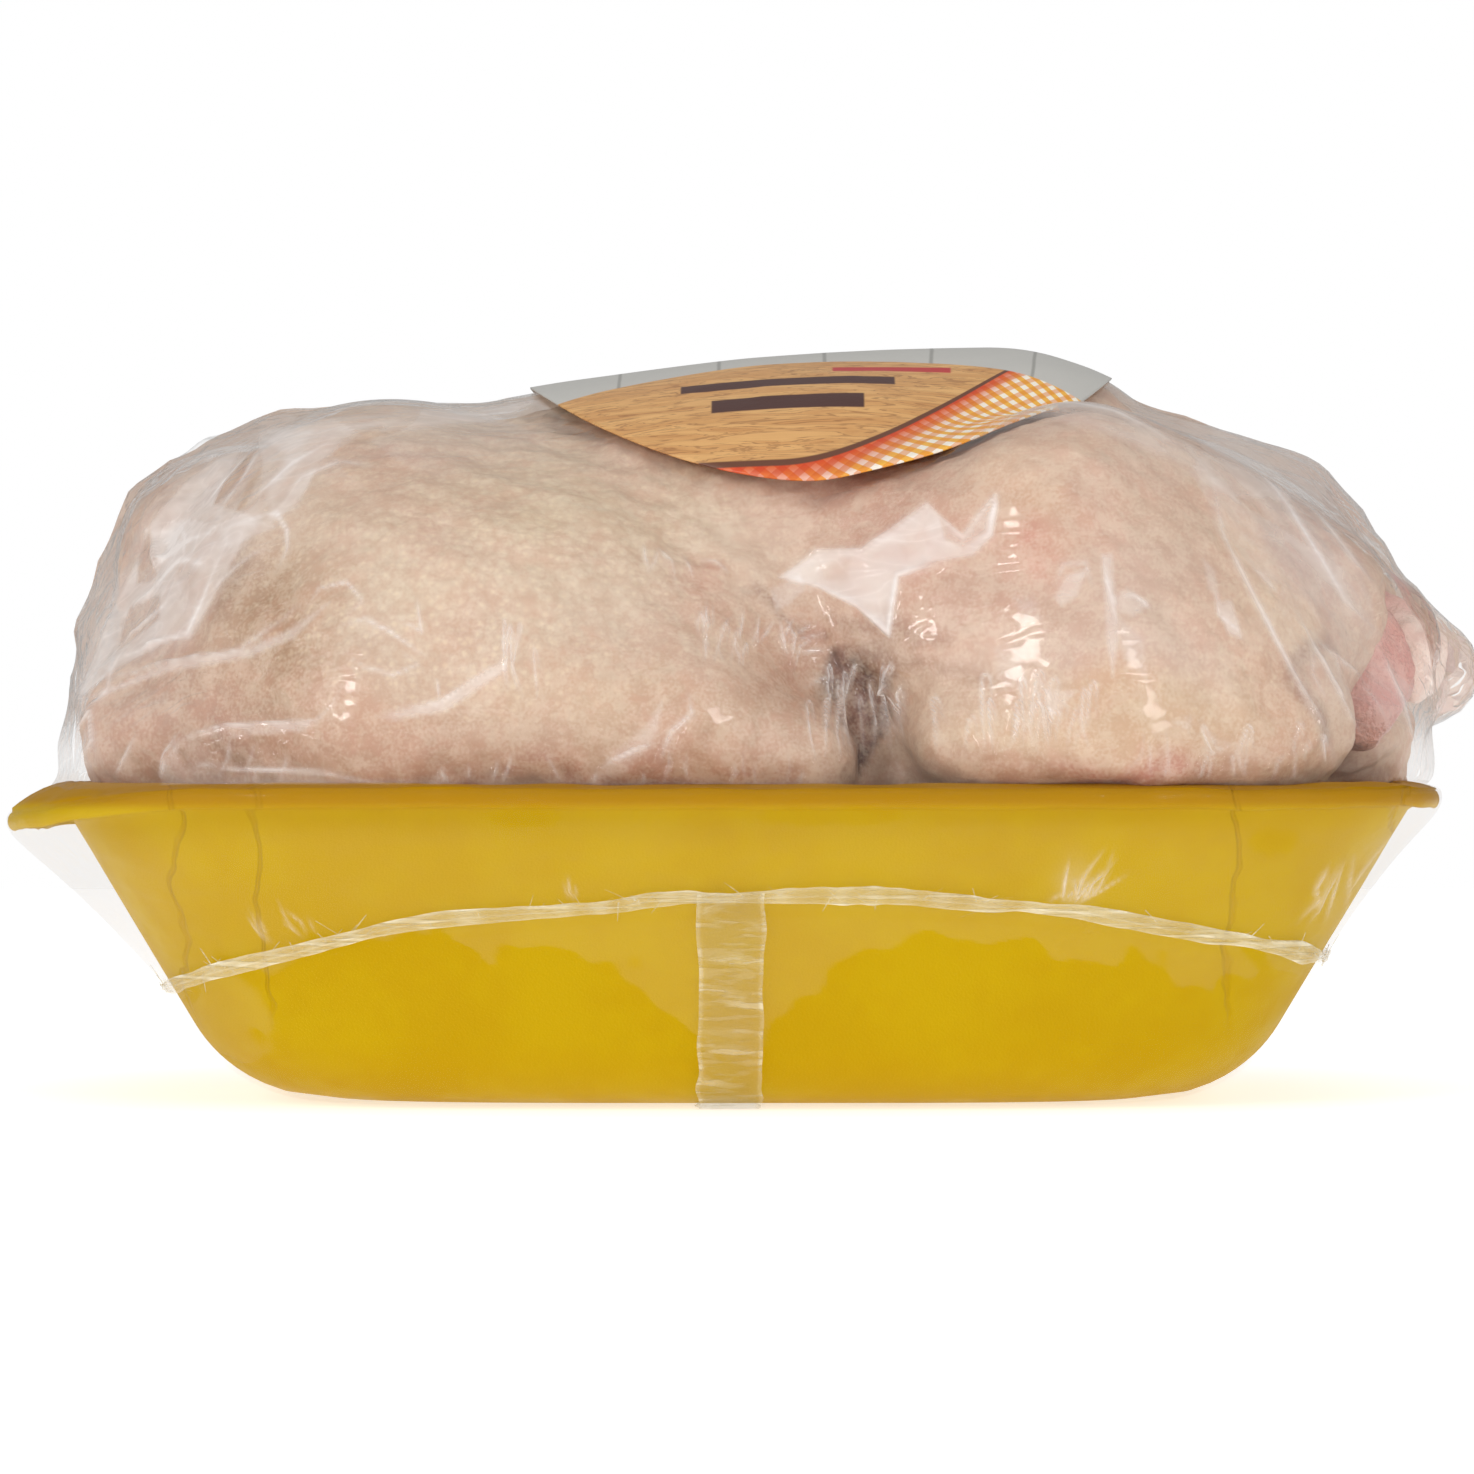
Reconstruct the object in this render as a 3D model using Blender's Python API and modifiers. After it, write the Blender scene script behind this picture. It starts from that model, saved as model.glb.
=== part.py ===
"""A whole raw chicken, shrink wrapped in clear film on a yellow foam tray, with a paper label on top.

Metres, +Z up. The origin is the middle of the tray's flat foot. The bird lies breast up along X,
its neck end at -X and its legs at +X, and the side shown in the photograph faces -Y.
"""

import math

import bmesh
import bpy
import numpy as np

# Foam tray: a flared bowl with a flat rim
TRAY_HEIGHT = 0.0585
FOAM = 0.0035
BOWL_HALF_LENGTH = 0.1225
BOWL_HALF_WIDTH = 0.0820
END_SLOPE = 0.58
SIDE_SLOPE = 0.40
END_ROUNDING = 0.024
SIDE_ROUNDING = 0.016
CORNER_POWER = 4.0
RIM_LEFT = 0.0118
RIM_RIGHT = 0.0068
RIM_SIDE = 0.0105
RIM_CURL = 0.0010
RIM_CURL_LEFT = 0.0055
RIM_CURL_FADE = (0.75, 0.22)
RIM_STEPS = (1.0, 0.6, 0.25)
TRAY_POINTS = 80
WALL_ROWS = 3
FILLET_ROWS = 5

# Clear wrap, from its edge on the rim up over the bird
PIECE_GAP = 0.0004
BOWL_GAP = 0.0009
EDGE_HALF_LENGTH = 0.1265
EDGE_HALF_WIDTH = 0.0895
EDGE_SHIFT = 0.0018
WRAP_CENTRE = np.array([0.0, 0.0, 0.070])
WRAP_COLUMNS = 96
DOME_ROWS = 28
BOWL_ROWS = 10
FLESH_BLEND = 0.0035
TAUT_DIRECTIONS = 3000
EDGE_POINTS = 180

# Clear wrap, how far it is drawn in from its tight shape to the flesh, and where that changes along
# the unit direction from its centre, as (start, span)
CLING = 0.60
CLING_LEFT = 0.05
CLING_RIGHT = 0.12
CLING_TOP = 0.15
LEFT_FADE = (0.45, 0.35)
RIGHT_FADE = (0.70, 0.20)
TOP_FADE = (0.70, 0.20)

# Clear wrap, the shares of its rows that settle on the rim, cross it and run down the bowl's wall
SETTLE_SHARE = 0.10
RIM_SHARE = 0.1
WALL_SHARE = 0.7

# Clear wrap, where gathered film holds it away from the bird
GATHERS = (
    (-0.0915, 0.000, 0.1285), (-0.1085, 0.000, 0.1190), (-0.1172, 0.000, 0.1095),
    (-0.1250, 0.000, 0.0900), (0.0900, 0.000, 0.1280), (0.1110, 0.008, 0.1220),
    (0.1215, 0.010, 0.1055),
)

# Bird: round masses as (centre, half sizes)
MASSES = {
    "back": ((-0.005, 0.000, 0.048), (0.108, 0.066, 0.043)),
    "breast": ((0.010, 0.000, 0.080), (0.088, 0.062, 0.0570)),
    "breast_front": ((-0.073, 0.000, 0.078), (0.052, 0.068, 0.052)),
    "breast_side_near": ((-0.048, -0.028, 0.086), (0.056, 0.044, 0.033)),
    "breast_side_far": ((-0.048, 0.028, 0.086), (0.056, 0.044, 0.033)),
    "keel_tip": ((0.048, 0.000, 0.112), (0.034, 0.030, 0.026)),
    "thigh_near": ((0.066, -0.036, 0.077), (0.044, 0.047, 0.046)),
    "thigh_far": ((0.076, 0.034, 0.078), (0.049, 0.047, 0.047)),
}

# Bird: limbs as (start, start radius, end, end radius)
LIMBS = {
    "knee_near": ((0.054, -0.061, 0.1055), 0.012, (0.060, -0.050, 0.104), 0.018),
    "drumstick_near": ((0.060, -0.050, 0.104), 0.020, (0.116, -0.030, 0.086), 0.012),
    "hock_near": ((0.117, -0.030, 0.083), 0.0125, (0.112, -0.034, 0.067), 0.0085),
    "drumstick_far": ((0.070, 0.044, 0.107), 0.023, (0.116, 0.022, 0.088), 0.015),
    "hock_far": ((0.116, 0.020, 0.087), 0.0140, (0.1305, 0.006, 0.0795), 0.0090),
    "tail": ((0.100, 0.000, 0.050), 0.020, (0.118, 0.000, 0.056), 0.010),
    "shoulder_near": ((-0.106, -0.040, 0.066), 0.016, (-0.060, -0.066, 0.068), 0.0165),
    "wing_near": ((-0.060, -0.066, 0.068), 0.0165, (0.000, -0.070, 0.072), 0.0165),
    "wing_tip_near": ((0.000, -0.070, 0.072), 0.0160, (0.014, -0.073, 0.062), 0.0090),
    "shoulder_far": ((-0.106, 0.040, 0.066), 0.016, (-0.060, 0.066, 0.068), 0.0165),
    "wing_far": ((-0.060, 0.066, 0.068), 0.0165, (0.000, 0.070, 0.072), 0.0165),
    "wing_tip_far": ((0.000, 0.070, 0.072), 0.0160, (0.014, 0.073, 0.062), 0.0090),
}

# Label: a round sticker on top of the wrap
LABEL_CENTRE_X = 0.016
LABEL_HALF_LENGTH = 0.058
LABEL_HALF_WIDTH = 0.056
LABEL_TOP = 0.1375
LABEL_DROP = 0.025
LABEL_GAP = 0.0010
LABEL_PAPER = 0.0004
LABEL_RINGS = 8
LABEL_SPOKES = 48

# Finishes, as linear red, green and blue, and roughness
YELLOW_FOAM = ((0.62, 0.36, 0.012), 0.55)
WRAPPED_SKIN = ((0.62, 0.42, 0.31), 0.25)
LABEL_TAN = ((0.62, 0.33, 0.11), 0.40)


def clear_scene():
    """Removes whatever the file opened with."""
    for thing in list(bpy.data.objects):
        bpy.data.objects.remove(thing)


def smooth_step(value):
    """0 below 0, 1 above 1, and a smooth curve between."""
    share = np.clip(value, 0.0, 1.0)
    return share * share * (3.0 - 2.0 * share)


def fade(value, start_and_span):
    """Rises smoothly from 0 at a start to 1 a span further on."""
    start, span = start_and_span
    return smooth_step((value - start) / span)


def oval_radius(angle, half_length, half_width):
    """Distance from the centre to a rectangle with soft corners, along a plan angle."""
    along = np.abs(np.cos(angle)) / half_length
    across = np.abs(np.sin(angle)) / half_width
    return (along**CORNER_POWER + across**CORNER_POWER) ** (-1.0 / CORNER_POWER)


def wall_half_size(top, slope, rounding, height):
    """Half size of the bowl at a height above its floor: a sloped wall, then a round fillet to the floor."""
    depth = TRAY_HEIGHT - FOAM
    lean = math.atan(slope)
    fillet_top = rounding * (1.0 - math.sin(lean))
    fillet_centre = top - slope * (depth - fillet_top) - rounding * math.cos(lean)
    below = np.clip(rounding - height, 0.0, rounding)
    curved = fillet_centre + np.sqrt(rounding**2 - below**2)
    return np.where(height > fillet_top, top - slope * (depth - height), curved)


def bowl_radius(angle, height, gap=0.0):
    """Plan radius of the bowl's inside at a height above its floor, less a gap."""
    half_length = wall_half_size(BOWL_HALF_LENGTH, END_SLOPE, END_ROUNDING, height) - gap
    half_width = wall_half_size(BOWL_HALF_WIDTH, SIDE_SLOPE, SIDE_ROUNDING, height) - gap
    return oval_radius(angle, half_length, half_width)


def rim_width(angle):
    """Width of the rim: widest at the left end, narrow at the right."""
    side = np.abs(np.sin(angle)) ** 2
    end = np.where(np.cos(angle) < 0.0, RIM_LEFT, RIM_RIGHT)
    return end * (1.0 - side) + RIM_SIDE * side


def rim_curl(angle):
    """How far the rim's edge bends down: most at the left end."""
    left = fade(-np.cos(angle), RIM_CURL_FADE)
    return RIM_CURL + (RIM_CURL_LEFT - RIM_CURL) * left


def tray_rings():
    """The rings of the tray's upper surface, from the rim's edge in and down to the floor."""
    angles = np.linspace(0.0, 2.0 * math.pi, TRAY_POINTS, endpoint=False)
    depth = TRAY_HEIGHT - FOAM
    edge = bowl_radius(angles, depth)
    rings = [
        (edge + rim_width(angles) * share, TRAY_HEIGHT - rim_curl(angles) * share**2)
        for share in RIM_STEPS
    ]
    fillet_top = END_ROUNDING * (1.0 - math.sin(math.atan(END_SLOPE)))
    wall = np.linspace(depth, fillet_top, WALL_ROWS + 1)
    turns = np.linspace(1.0, 0.0, FILLET_ROWS + 1)[1:]
    for height in [*wall, *(fillet_top * turns**2)]:
        rings.append((bowl_radius(angles, height), np.full(TRAY_POINTS, FOAM + height)))
    return [
        np.stack([radius * np.cos(angles), radius * np.sin(angles), level], axis=1)
        for radius, level in rings
    ]


def make_tray():
    """The foam tray: its upper surface lofted through the rings, given its thickness by Solidify."""
    rings = tray_rings()
    bm = bmesh.new()
    rows = [[bm.verts.new(point) for point in ring] for ring in rings]
    for upper, lower in zip(rows, rows[1:]):
        for i in range(TRAY_POINTS):
            j = (i + 1) % TRAY_POINTS
            bm.faces.new((upper[i], upper[j], lower[j], lower[i]))
    floor = bm.faces.new(rows[-1])
    bmesh.ops.recalc_face_normals(bm, faces=bm.faces)
    if floor.normal.z < 0.0:
        bmesh.ops.reverse_faces(bm, faces=bm.faces)
    tray = new_object("tray", bm)
    thickness = tray.modifiers.new("foam", "SOLIDIFY")
    thickness.thickness = FOAM
    thickness.offset = -1.0
    thickness.use_even_offset = True
    return tray


def distance_to_flesh(points):
    """Signed distance from points to the bird: its masses and limbs, blended where they meet."""
    near = []
    for centre, half in MASSES.values():
        offset = (points - np.array(centre)) / np.array(half)
        scaled = np.linalg.norm(offset, axis=-1)
        steep = np.linalg.norm(offset / np.array(half), axis=-1)
        near.append(scaled * (scaled - 1.0) / np.maximum(steep, 1e-9))
    for start, start_radius, end, end_radius in LIMBS.values():
        bone = np.array(end) - np.array(start)
        along = np.clip((points - np.array(start)) @ bone / (bone @ bone), 0.0, 1.0)
        closest = np.array(start) + along[..., None] * bone
        thick = start_radius + along * (end_radius - start_radius)
        near.append(np.linalg.norm(points - closest, axis=-1) - thick)
    near = np.stack(near)
    nearest = near.min(axis=0)
    pull = np.exp(-(near - nearest) / FLESH_BLEND).sum(axis=0)
    return nearest - FLESH_BLEND * np.log(pull)


def flesh_radius(rays):
    """Distance from the wrap's centre to the bird's surface along each ray, found from outside in."""
    reach = np.full(len(rays), 0.20)
    for _ in range(60):
        gap = distance_to_flesh(WRAP_CENTRE + rays * reach[:, None])
        reach = np.maximum(reach - 0.8 * gap, 0.005)
    return reach


def edge_ring(angles):
    """The closed line where the wrap meets the rim."""
    radius = oval_radius(angles, EDGE_HALF_LENGTH, EDGE_HALF_WIDTH)
    level = np.full(angles.shape, TRAY_HEIGHT + PIECE_GAP)
    return np.stack(
        [radius * np.cos(angles) + EDGE_SHIFT, radius * np.sin(angles), level], axis=-1
    )


def stretch(normals):
    """How far the bird and the wrap's edge reach along each direction, from the wrap's centre."""
    reach = [
        normals @ np.array(centre) + np.linalg.norm(normals * np.array(half), axis=-1)
        for centre, half in MASSES.values()
    ]
    for start, start_radius, end, end_radius in LIMBS.values():
        reach.append(normals @ np.array(start) + start_radius)
        reach.append(normals @ np.array(end) + end_radius)
    edge = edge_ring(np.linspace(0.0, 2.0 * math.pi, EDGE_POINTS, endpoint=False))
    reach.append((normals @ np.concatenate([edge, GATHERS]).T).max(axis=-1))
    return np.max(reach, axis=0) - normals @ WRAP_CENTRE


def even_directions(count):
    """Unit directions spread evenly over a ball, on a spiral."""
    step = np.arange(count) + 0.5
    height = 1.0 - 2.0 * step / count
    turn = step * math.pi * (3.0 - math.sqrt(5.0))
    flat = np.sqrt(1.0 - height**2)
    return np.stack([flat * np.cos(turn), flat * np.sin(turn), height], axis=1)


def taut_radius(rays):
    """Distance from the wrap's centre to a film pulled tight over the bird and the rim.

    Each tangent plane of the bird bounds the film, so the film lies at the nearest of them. The best
    of an even set of planes is found first, then tilted in ever smaller steps.
    """
    planes = even_directions(TAUT_DIRECTIONS)
    facing = rays @ planes.T
    reach = np.where(facing > 0.05, stretch(planes) / np.maximum(facing, 0.05), np.inf)
    normal = planes[reach.argmin(axis=1)]
    best = reach.min(axis=1)
    tilt = 0.04
    for _ in range(9):
        for axis in (*np.eye(3), *-np.eye(3)):
            tried = normal + tilt * axis
            tried /= np.linalg.norm(tried, axis=1, keepdims=True)
            facing = (tried * rays).sum(axis=1)
            reach = np.where(facing > 0.05, stretch(tried) / np.maximum(facing, 0.05), np.inf)
            better = reach < best
            normal[better] = tried[better]
            best[better] = reach[better]
        tilt *= 0.6
    return best


def wrap_radius(rays):
    """Distance from the wrap's centre to the film: tight, and drawn in towards the flesh at the sides."""
    taut = taut_radius(rays)
    flesh = flesh_radius(rays)
    left = fade(-rays[:, 0], LEFT_FADE)
    right = fade(rays[:, 0], RIGHT_FADE)
    top = fade(rays[:, 2], TOP_FADE)
    cling = CLING * (1.0 - top) + CLING_TOP * top
    cling = cling * (1.0 - left) + CLING_LEFT * left
    cling = cling * (1.0 - right) + CLING_RIGHT * right
    return taut - cling * np.maximum(taut - flesh, 0.0)


def dome_points(angles, shares):
    """Points of the film over the bird, by plan angle, and by share of the way up from the edge."""
    edge = edge_ring(angles) - WRAP_CENTRE
    plan = np.arctan2(edge[:, 1], edge[:, 0])
    lowest = np.arctan2(edge[:, 2], np.hypot(edge[:, 0], edge[:, 1]))
    rise = lowest + (0.5 * math.pi - lowest) * shares
    rays = np.stack([np.cos(rise) * np.cos(plan), np.cos(rise) * np.sin(plan), np.sin(rise)], 1)
    radius = wrap_radius(rays)
    at_edge = smooth_step(shares / SETTLE_SHARE)
    radius = radius * at_edge + np.linalg.norm(edge, axis=1) * (1.0 - at_edge)
    return WRAP_CENTRE + rays * radius[:, None]


def bowl_points(angles, shares):
    """Points of the wrapped bird inside the tray: across the rim, down the wall and over the floor."""
    depth = TRAY_HEIGHT - FOAM
    down = fade(shares, (RIM_SHARE, WALL_SHARE - RIM_SHARE))
    height = BOWL_GAP + (depth - BOWL_GAP) * (1.0 - down)
    height = np.where(shares <= RIM_SHARE, depth + PIECE_GAP, height)
    inside = np.clip((1.0 - shares) / (1.0 - WALL_SHARE), 0.0, 1.0)
    radius = bowl_radius(angles, height - BOWL_GAP, BOWL_GAP) * inside
    return np.stack([radius * np.cos(angles), radius * np.sin(angles), FOAM + height], axis=1)


def make_wrapped_chicken():
    """The wrapped bird as one solid: a globe whose rows are laid over the dome and into the bowl."""
    rows = DOME_ROWS + BOWL_ROWS
    bm = bmesh.new()
    bmesh.ops.create_uvsphere(bm, u_segments=WRAP_COLUMNS, v_segments=rows, radius=1.0)
    globe = np.array([vert.co for vert in bm.verts])
    angles = np.arctan2(globe[:, 1], globe[:, 0])
    row = np.round(np.arccos(np.clip(globe[:, 2], -1.0, 1.0)) / math.pi * rows)
    over = row <= DOME_ROWS
    points = np.empty_like(globe)
    points[over] = dome_points(angles[over], 1.0 - row[over] / DOME_ROWS)
    points[~over] = bowl_points(angles[~over], (row[~over] - DOME_ROWS) / BOWL_ROWS)
    for vert, point in zip(bm.verts, points):
        vert.co = point
    return new_object("wrapped_chicken", bm)


def make_label():
    """The round label: a disc of rings laid just above the film, given its thickness by Solidify."""
    bm = bmesh.new()
    spine = [bm.verts.new((ring / LABEL_RINGS, 0.0, 0.0)) for ring in range(LABEL_RINGS + 1)]
    edges = [bm.edges.new(pair) for pair in zip(spine, spine[1:])]
    bmesh.ops.spin(
        bm, geom=[*spine, *edges], cent=(0.0, 0.0, 0.0), axis=(0.0, 0.0, 1.0),
        angle=2.0 * math.pi, steps=LABEL_SPOKES, use_duplicate=False,
    )
    bmesh.ops.remove_doubles(bm, verts=bm.verts, dist=1e-5)
    flat = np.array([vert.co for vert in bm.verts])
    target = flat * (LABEL_HALF_LENGTH, LABEL_HALF_WIDTH, 0.0)
    target = target + (LABEL_CENTRE_X, 0.0, LABEL_TOP) - WRAP_CENTRE
    target[:, 2] -= LABEL_DROP * flat[:, 1] ** 2
    rays = target / np.linalg.norm(target, axis=1, keepdims=True)
    points = WRAP_CENTRE + rays * (wrap_radius(rays) + LABEL_GAP)[:, None]
    for vert, point in zip(bm.verts, points):
        vert.co = point
    bmesh.ops.recalc_face_normals(bm, faces=bm.faces)
    if sum(face.normal.z for face in bm.faces) < 0.0:
        bmesh.ops.reverse_faces(bm, faces=bm.faces)
    label = new_object("label", bm)
    paper = label.modifiers.new("paper", "SOLIDIFY")
    paper.thickness = LABEL_PAPER
    paper.offset = 1.0
    return label


def new_object(name, bm):
    """An object in the pack's collection from a finished bmesh, shaded smooth."""
    mesh = bpy.data.meshes.new(name)
    bm.to_mesh(mesh)
    bm.free()
    mesh.shade_smooth()
    thing = bpy.data.objects.new(name, mesh)
    bpy.data.collections["chicken_pack"].objects.link(thing)
    return thing


def give_material(thing, name, finish):
    """A plain material in the piece's own colour and gloss."""
    colour, roughness = finish
    material = bpy.data.materials.new(name)
    material.use_nodes = True
    shader = material.node_tree.nodes["Principled BSDF"]
    shader.inputs["Base Color"].default_value = (*colour, 1.0)
    shader.inputs["Roughness"].default_value = roughness
    shader.inputs["Metallic"].default_value = 0.0
    thing.data.materials.append(material)


def main():
    """Builds the three pieces of the pack."""
    clear_scene()
    pack = bpy.data.collections.new("chicken_pack")
    bpy.context.scene.collection.children.link(pack)
    give_material(make_tray(), "yellow_foam", YELLOW_FOAM)
    give_material(make_wrapped_chicken(), "wrapped_skin", WRAPPED_SKIN)
    give_material(make_label(), "label_paper", LABEL_TAN)


main()
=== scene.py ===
"""Looks of a whole raw chicken, shrink wrapped in clear film on a yellow foam tray.

Metres, +Z up. The bird lies breast up along X, its neck end at -X and its legs at +X, and the shown
side faces -Y. Places given as view marks are read off the picture's own frame of 1474 by 1474.
"""

import logging
import math
from collections.abc import Sequence
from dataclasses import dataclass, field
from enum import Enum

import bpy
import numpy as np
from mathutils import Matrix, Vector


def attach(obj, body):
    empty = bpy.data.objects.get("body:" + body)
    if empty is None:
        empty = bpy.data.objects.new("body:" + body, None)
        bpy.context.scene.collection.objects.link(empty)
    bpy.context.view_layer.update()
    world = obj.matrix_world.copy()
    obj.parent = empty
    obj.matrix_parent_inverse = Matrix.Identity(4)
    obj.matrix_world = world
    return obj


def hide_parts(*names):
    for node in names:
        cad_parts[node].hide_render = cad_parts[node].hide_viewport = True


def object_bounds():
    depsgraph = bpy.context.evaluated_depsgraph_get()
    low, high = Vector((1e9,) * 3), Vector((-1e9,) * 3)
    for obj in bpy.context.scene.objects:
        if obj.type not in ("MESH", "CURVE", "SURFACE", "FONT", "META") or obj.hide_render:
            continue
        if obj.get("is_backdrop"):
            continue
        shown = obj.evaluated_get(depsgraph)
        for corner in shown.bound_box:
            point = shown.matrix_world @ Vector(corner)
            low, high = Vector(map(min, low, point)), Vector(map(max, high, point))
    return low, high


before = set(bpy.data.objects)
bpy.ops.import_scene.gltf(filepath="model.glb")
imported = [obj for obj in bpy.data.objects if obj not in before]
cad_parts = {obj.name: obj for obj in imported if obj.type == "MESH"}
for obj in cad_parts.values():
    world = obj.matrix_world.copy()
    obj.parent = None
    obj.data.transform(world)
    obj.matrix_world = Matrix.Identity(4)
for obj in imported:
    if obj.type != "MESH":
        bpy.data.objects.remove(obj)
CAD_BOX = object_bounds()

LOG = logging.getLogger("chicken_pack")

Triple = tuple[float, float, float]
Mark = tuple[float, float]

VIEW_SIZE = 1474.0
VIEW_MIDDLE = 737.0
VIEW_PIXEL = 0.18855e-3
VIEW_LEVEL = 0.067
VIEW_DISTANCE = 1.2
SIDE_NEARNESS = 1.06
FULL_TURN = 2.0 * math.pi


class Side(Enum):
    """The two long sides of the pack, by the sign of Y."""

    NEAR = -1.0
    FAR = 1.0


def smooth_step(value: np.ndarray | float) -> np.ndarray:
    """0 below 0, 1 above 1, and a smooth curve between."""
    share = np.clip(value, 0.0, 1.0)
    return share * share * (3.0 - 2.0 * share)


def seen_at(marks: Sequence[Mark], nearness: float = SIDE_NEARNESS) -> np.ndarray:
    """Where view marks lie on the pack's shown side.

    Args:
        marks: pairs of view columns and rows.
        nearness: how much closer to the camera than the pack's middle the surface is.

    Returns:
        Pairs of X and Z in metres.
    """
    offset = (np.asarray(marks, dtype=float) - VIEW_MIDDLE) * VIEW_PIXEL / nearness
    return np.stack([offset[..., 0], VIEW_LEVEL - offset[..., 1]], axis=-1)


def linear_colour(red: float, green: float, blue: float) -> Triple:
    """A colour given as 0 to 255 on a screen, as linear light."""
    share = np.array([red, green, blue]) / 255.0
    return tuple(np.where(share <= 0.04045, share / 12.92, ((share + 0.055) / 1.055) ** 2.4))


def waves(points: np.ndarray, size: float, seed: int, count: int = 10) -> np.ndarray:
    """Smooth random swell: the mean of sine waves of one length and random directions.

    Args:
        points: places, in an array whose last axis is X, Y and Z or any two of them.
        size: length of a wave in metres.
        seed: which swell.
        count: number of waves.

    Returns:
        Heights of about -1 to 1, one a place.
    """
    random = np.random.default_rng(seed)
    ways = random.normal(size=(count, points.shape[-1]))
    ways /= np.linalg.norm(ways, axis=1, keepdims=True)
    ways *= FULL_TURN / size * random.uniform(0.7, 1.4, size=(count, 1))
    swell = np.sin(points @ ways.T + random.uniform(0.0, FULL_TURN, count)).sum(axis=-1)
    return swell * math.sqrt(2.0 / count) * 0.6


@dataclass(frozen=True)
class Mass:
    """A round mass of flesh, as an ellipsoid."""

    centre: Triple
    half: Triple

    def distance(self, points: np.ndarray) -> np.ndarray:
        """Distance to the surface: the scaled length less one, over its own steepness."""
        offset = (points - np.array(self.centre)) / np.array(self.half)
        scaled = np.linalg.norm(offset, axis=-1)
        steep = np.linalg.norm(offset / np.array(self.half), axis=-1)
        return scaled * (scaled - 1.0) / np.maximum(steep, 1e-9)

    def reach(self, normals: np.ndarray) -> np.ndarray:
        """How far the mass reaches along each direction."""
        return normals @ np.array(self.centre) + np.linalg.norm(normals * np.array(self.half), axis=-1)


@dataclass(frozen=True)
class Limb:
    """A rounded, tapering rod of flesh."""

    start: Triple
    start_radius: float
    end: Triple
    end_radius: float

    def distance(self, points: np.ndarray) -> np.ndarray:
        """Distance to the rod: to the closest point of its bone, less the radius there."""
        bone = np.array(self.end) - np.array(self.start)
        along = np.clip((points - np.array(self.start)) @ bone / (bone @ bone), 0.0, 1.0)
        closest = np.array(self.start) + along[..., None] * bone
        thick = self.start_radius + along * (self.end_radius - self.start_radius)
        return np.linalg.norm(points - closest, axis=-1) - thick

    def reach(self, normals: np.ndarray) -> np.ndarray:
        """How far the rod reaches along each direction."""
        return np.maximum(
            normals @ np.array(self.start) + self.start_radius,
            normals @ np.array(self.end) + self.end_radius,
        )


Flesh = Mass | Limb


def mirrored(part: Flesh) -> Flesh:
    """The same flesh on the other side of the bird."""
    if isinstance(part, Mass):
        return Mass((part.centre[0], -part.centre[1], part.centre[2]), part.half)
    start = (part.start[0], -part.start[1], part.start[2])
    end = (part.end[0], -part.end[1], part.end[2])
    return Limb(start, part.start_radius, end, part.end_radius)


def blended(distances: Sequence[np.ndarray], blend: float) -> np.ndarray:
    """The least of several distances, with a soft join as wide as the blend."""
    stack = np.stack(distances)
    nearest = stack.min(axis=0)
    return nearest - blend * np.log(np.exp(-(stack - nearest) / blend).sum(axis=0))


@dataclass(frozen=True)
class FleshGroup:
    """Masses and limbs that share one skin, joined softly."""

    parts: tuple[Flesh, ...]
    blend: float

    def distance(self, points: np.ndarray) -> np.ndarray:
        """Distance to the group's skin."""
        return blended([part.distance(points) for part in self.parts], self.blend)


NEAR_WING = (
    Limb((-0.104, -0.040, 0.066), 0.0165, (-0.064, -0.064, 0.066), 0.0160),
    Limb((-0.064, -0.064, 0.066), 0.0160, (-0.010, -0.069, 0.068), 0.0140),
    Limb((-0.010, -0.069, 0.068), 0.0140, (0.012, -0.073, 0.062), 0.0085),
)
BODY = FleshGroup(
    (
        Mass((-0.005, 0.000, 0.048), (0.104, 0.066, 0.043)),
        Mass((0.010, 0.000, 0.080), (0.088, 0.062, 0.0560)),
        Mass((-0.066, 0.000, 0.078), (0.045, 0.066, 0.051)),
        Mass((-0.048, -0.028, 0.086), (0.056, 0.044, 0.033)),
        Mass((-0.048, 0.028, 0.086), (0.056, 0.044, 0.033)),
        Mass((-0.040, -0.042, 0.078), (0.058, 0.039, 0.028)),
        Mass((-0.040, 0.042, 0.078), (0.058, 0.039, 0.028)),
        Mass((0.048, 0.000, 0.112), (0.034, 0.030, 0.026)),
        Limb((0.100, 0.000, 0.050), 0.020, (0.118, 0.000, 0.056), 0.010),
        *NEAR_WING,
        *(mirrored(part) for part in NEAR_WING),
    ),
    0.0042,
)
NECK = FleshGroup(
    (
        Mass((-0.092, 0.014, 0.080), (0.027, 0.046, 0.041)),
        Limb((-0.108, -0.020, 0.066), 0.0130, (-0.098, 0.050, 0.068), 0.0180),
        Mass((-0.102, 0.006, 0.104), (0.012, 0.026, 0.012)),
    ),
    0.0035,
)
NEAR_LEG = FleshGroup(
    (
        Mass((0.066, -0.036, 0.077), (0.044, 0.047, 0.044)),
        Mass((0.034, -0.038, 0.096), (0.030, 0.030, 0.022)),
        Limb((0.054, -0.061, 0.1055), 0.0115, (0.060, -0.050, 0.104), 0.0175),
        Limb((0.060, -0.050, 0.104), 0.0190, (0.104, -0.034, 0.090), 0.0150),
        Limb((0.026, -0.062, 0.085), 0.0070, (0.062, -0.074, 0.083), 0.0080),
        Mass((0.046, -0.074, 0.066), (0.014, 0.009, 0.008)),
        Mass((0.066, -0.077, 0.0655), (0.015, 0.008, 0.0085)),
        Mass((0.086, -0.069, 0.067), (0.014, 0.009, 0.008)),
        Mass((0.100, -0.058, 0.069), (0.010, 0.009, 0.008)),
    ),
    0.0045,
)
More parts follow.
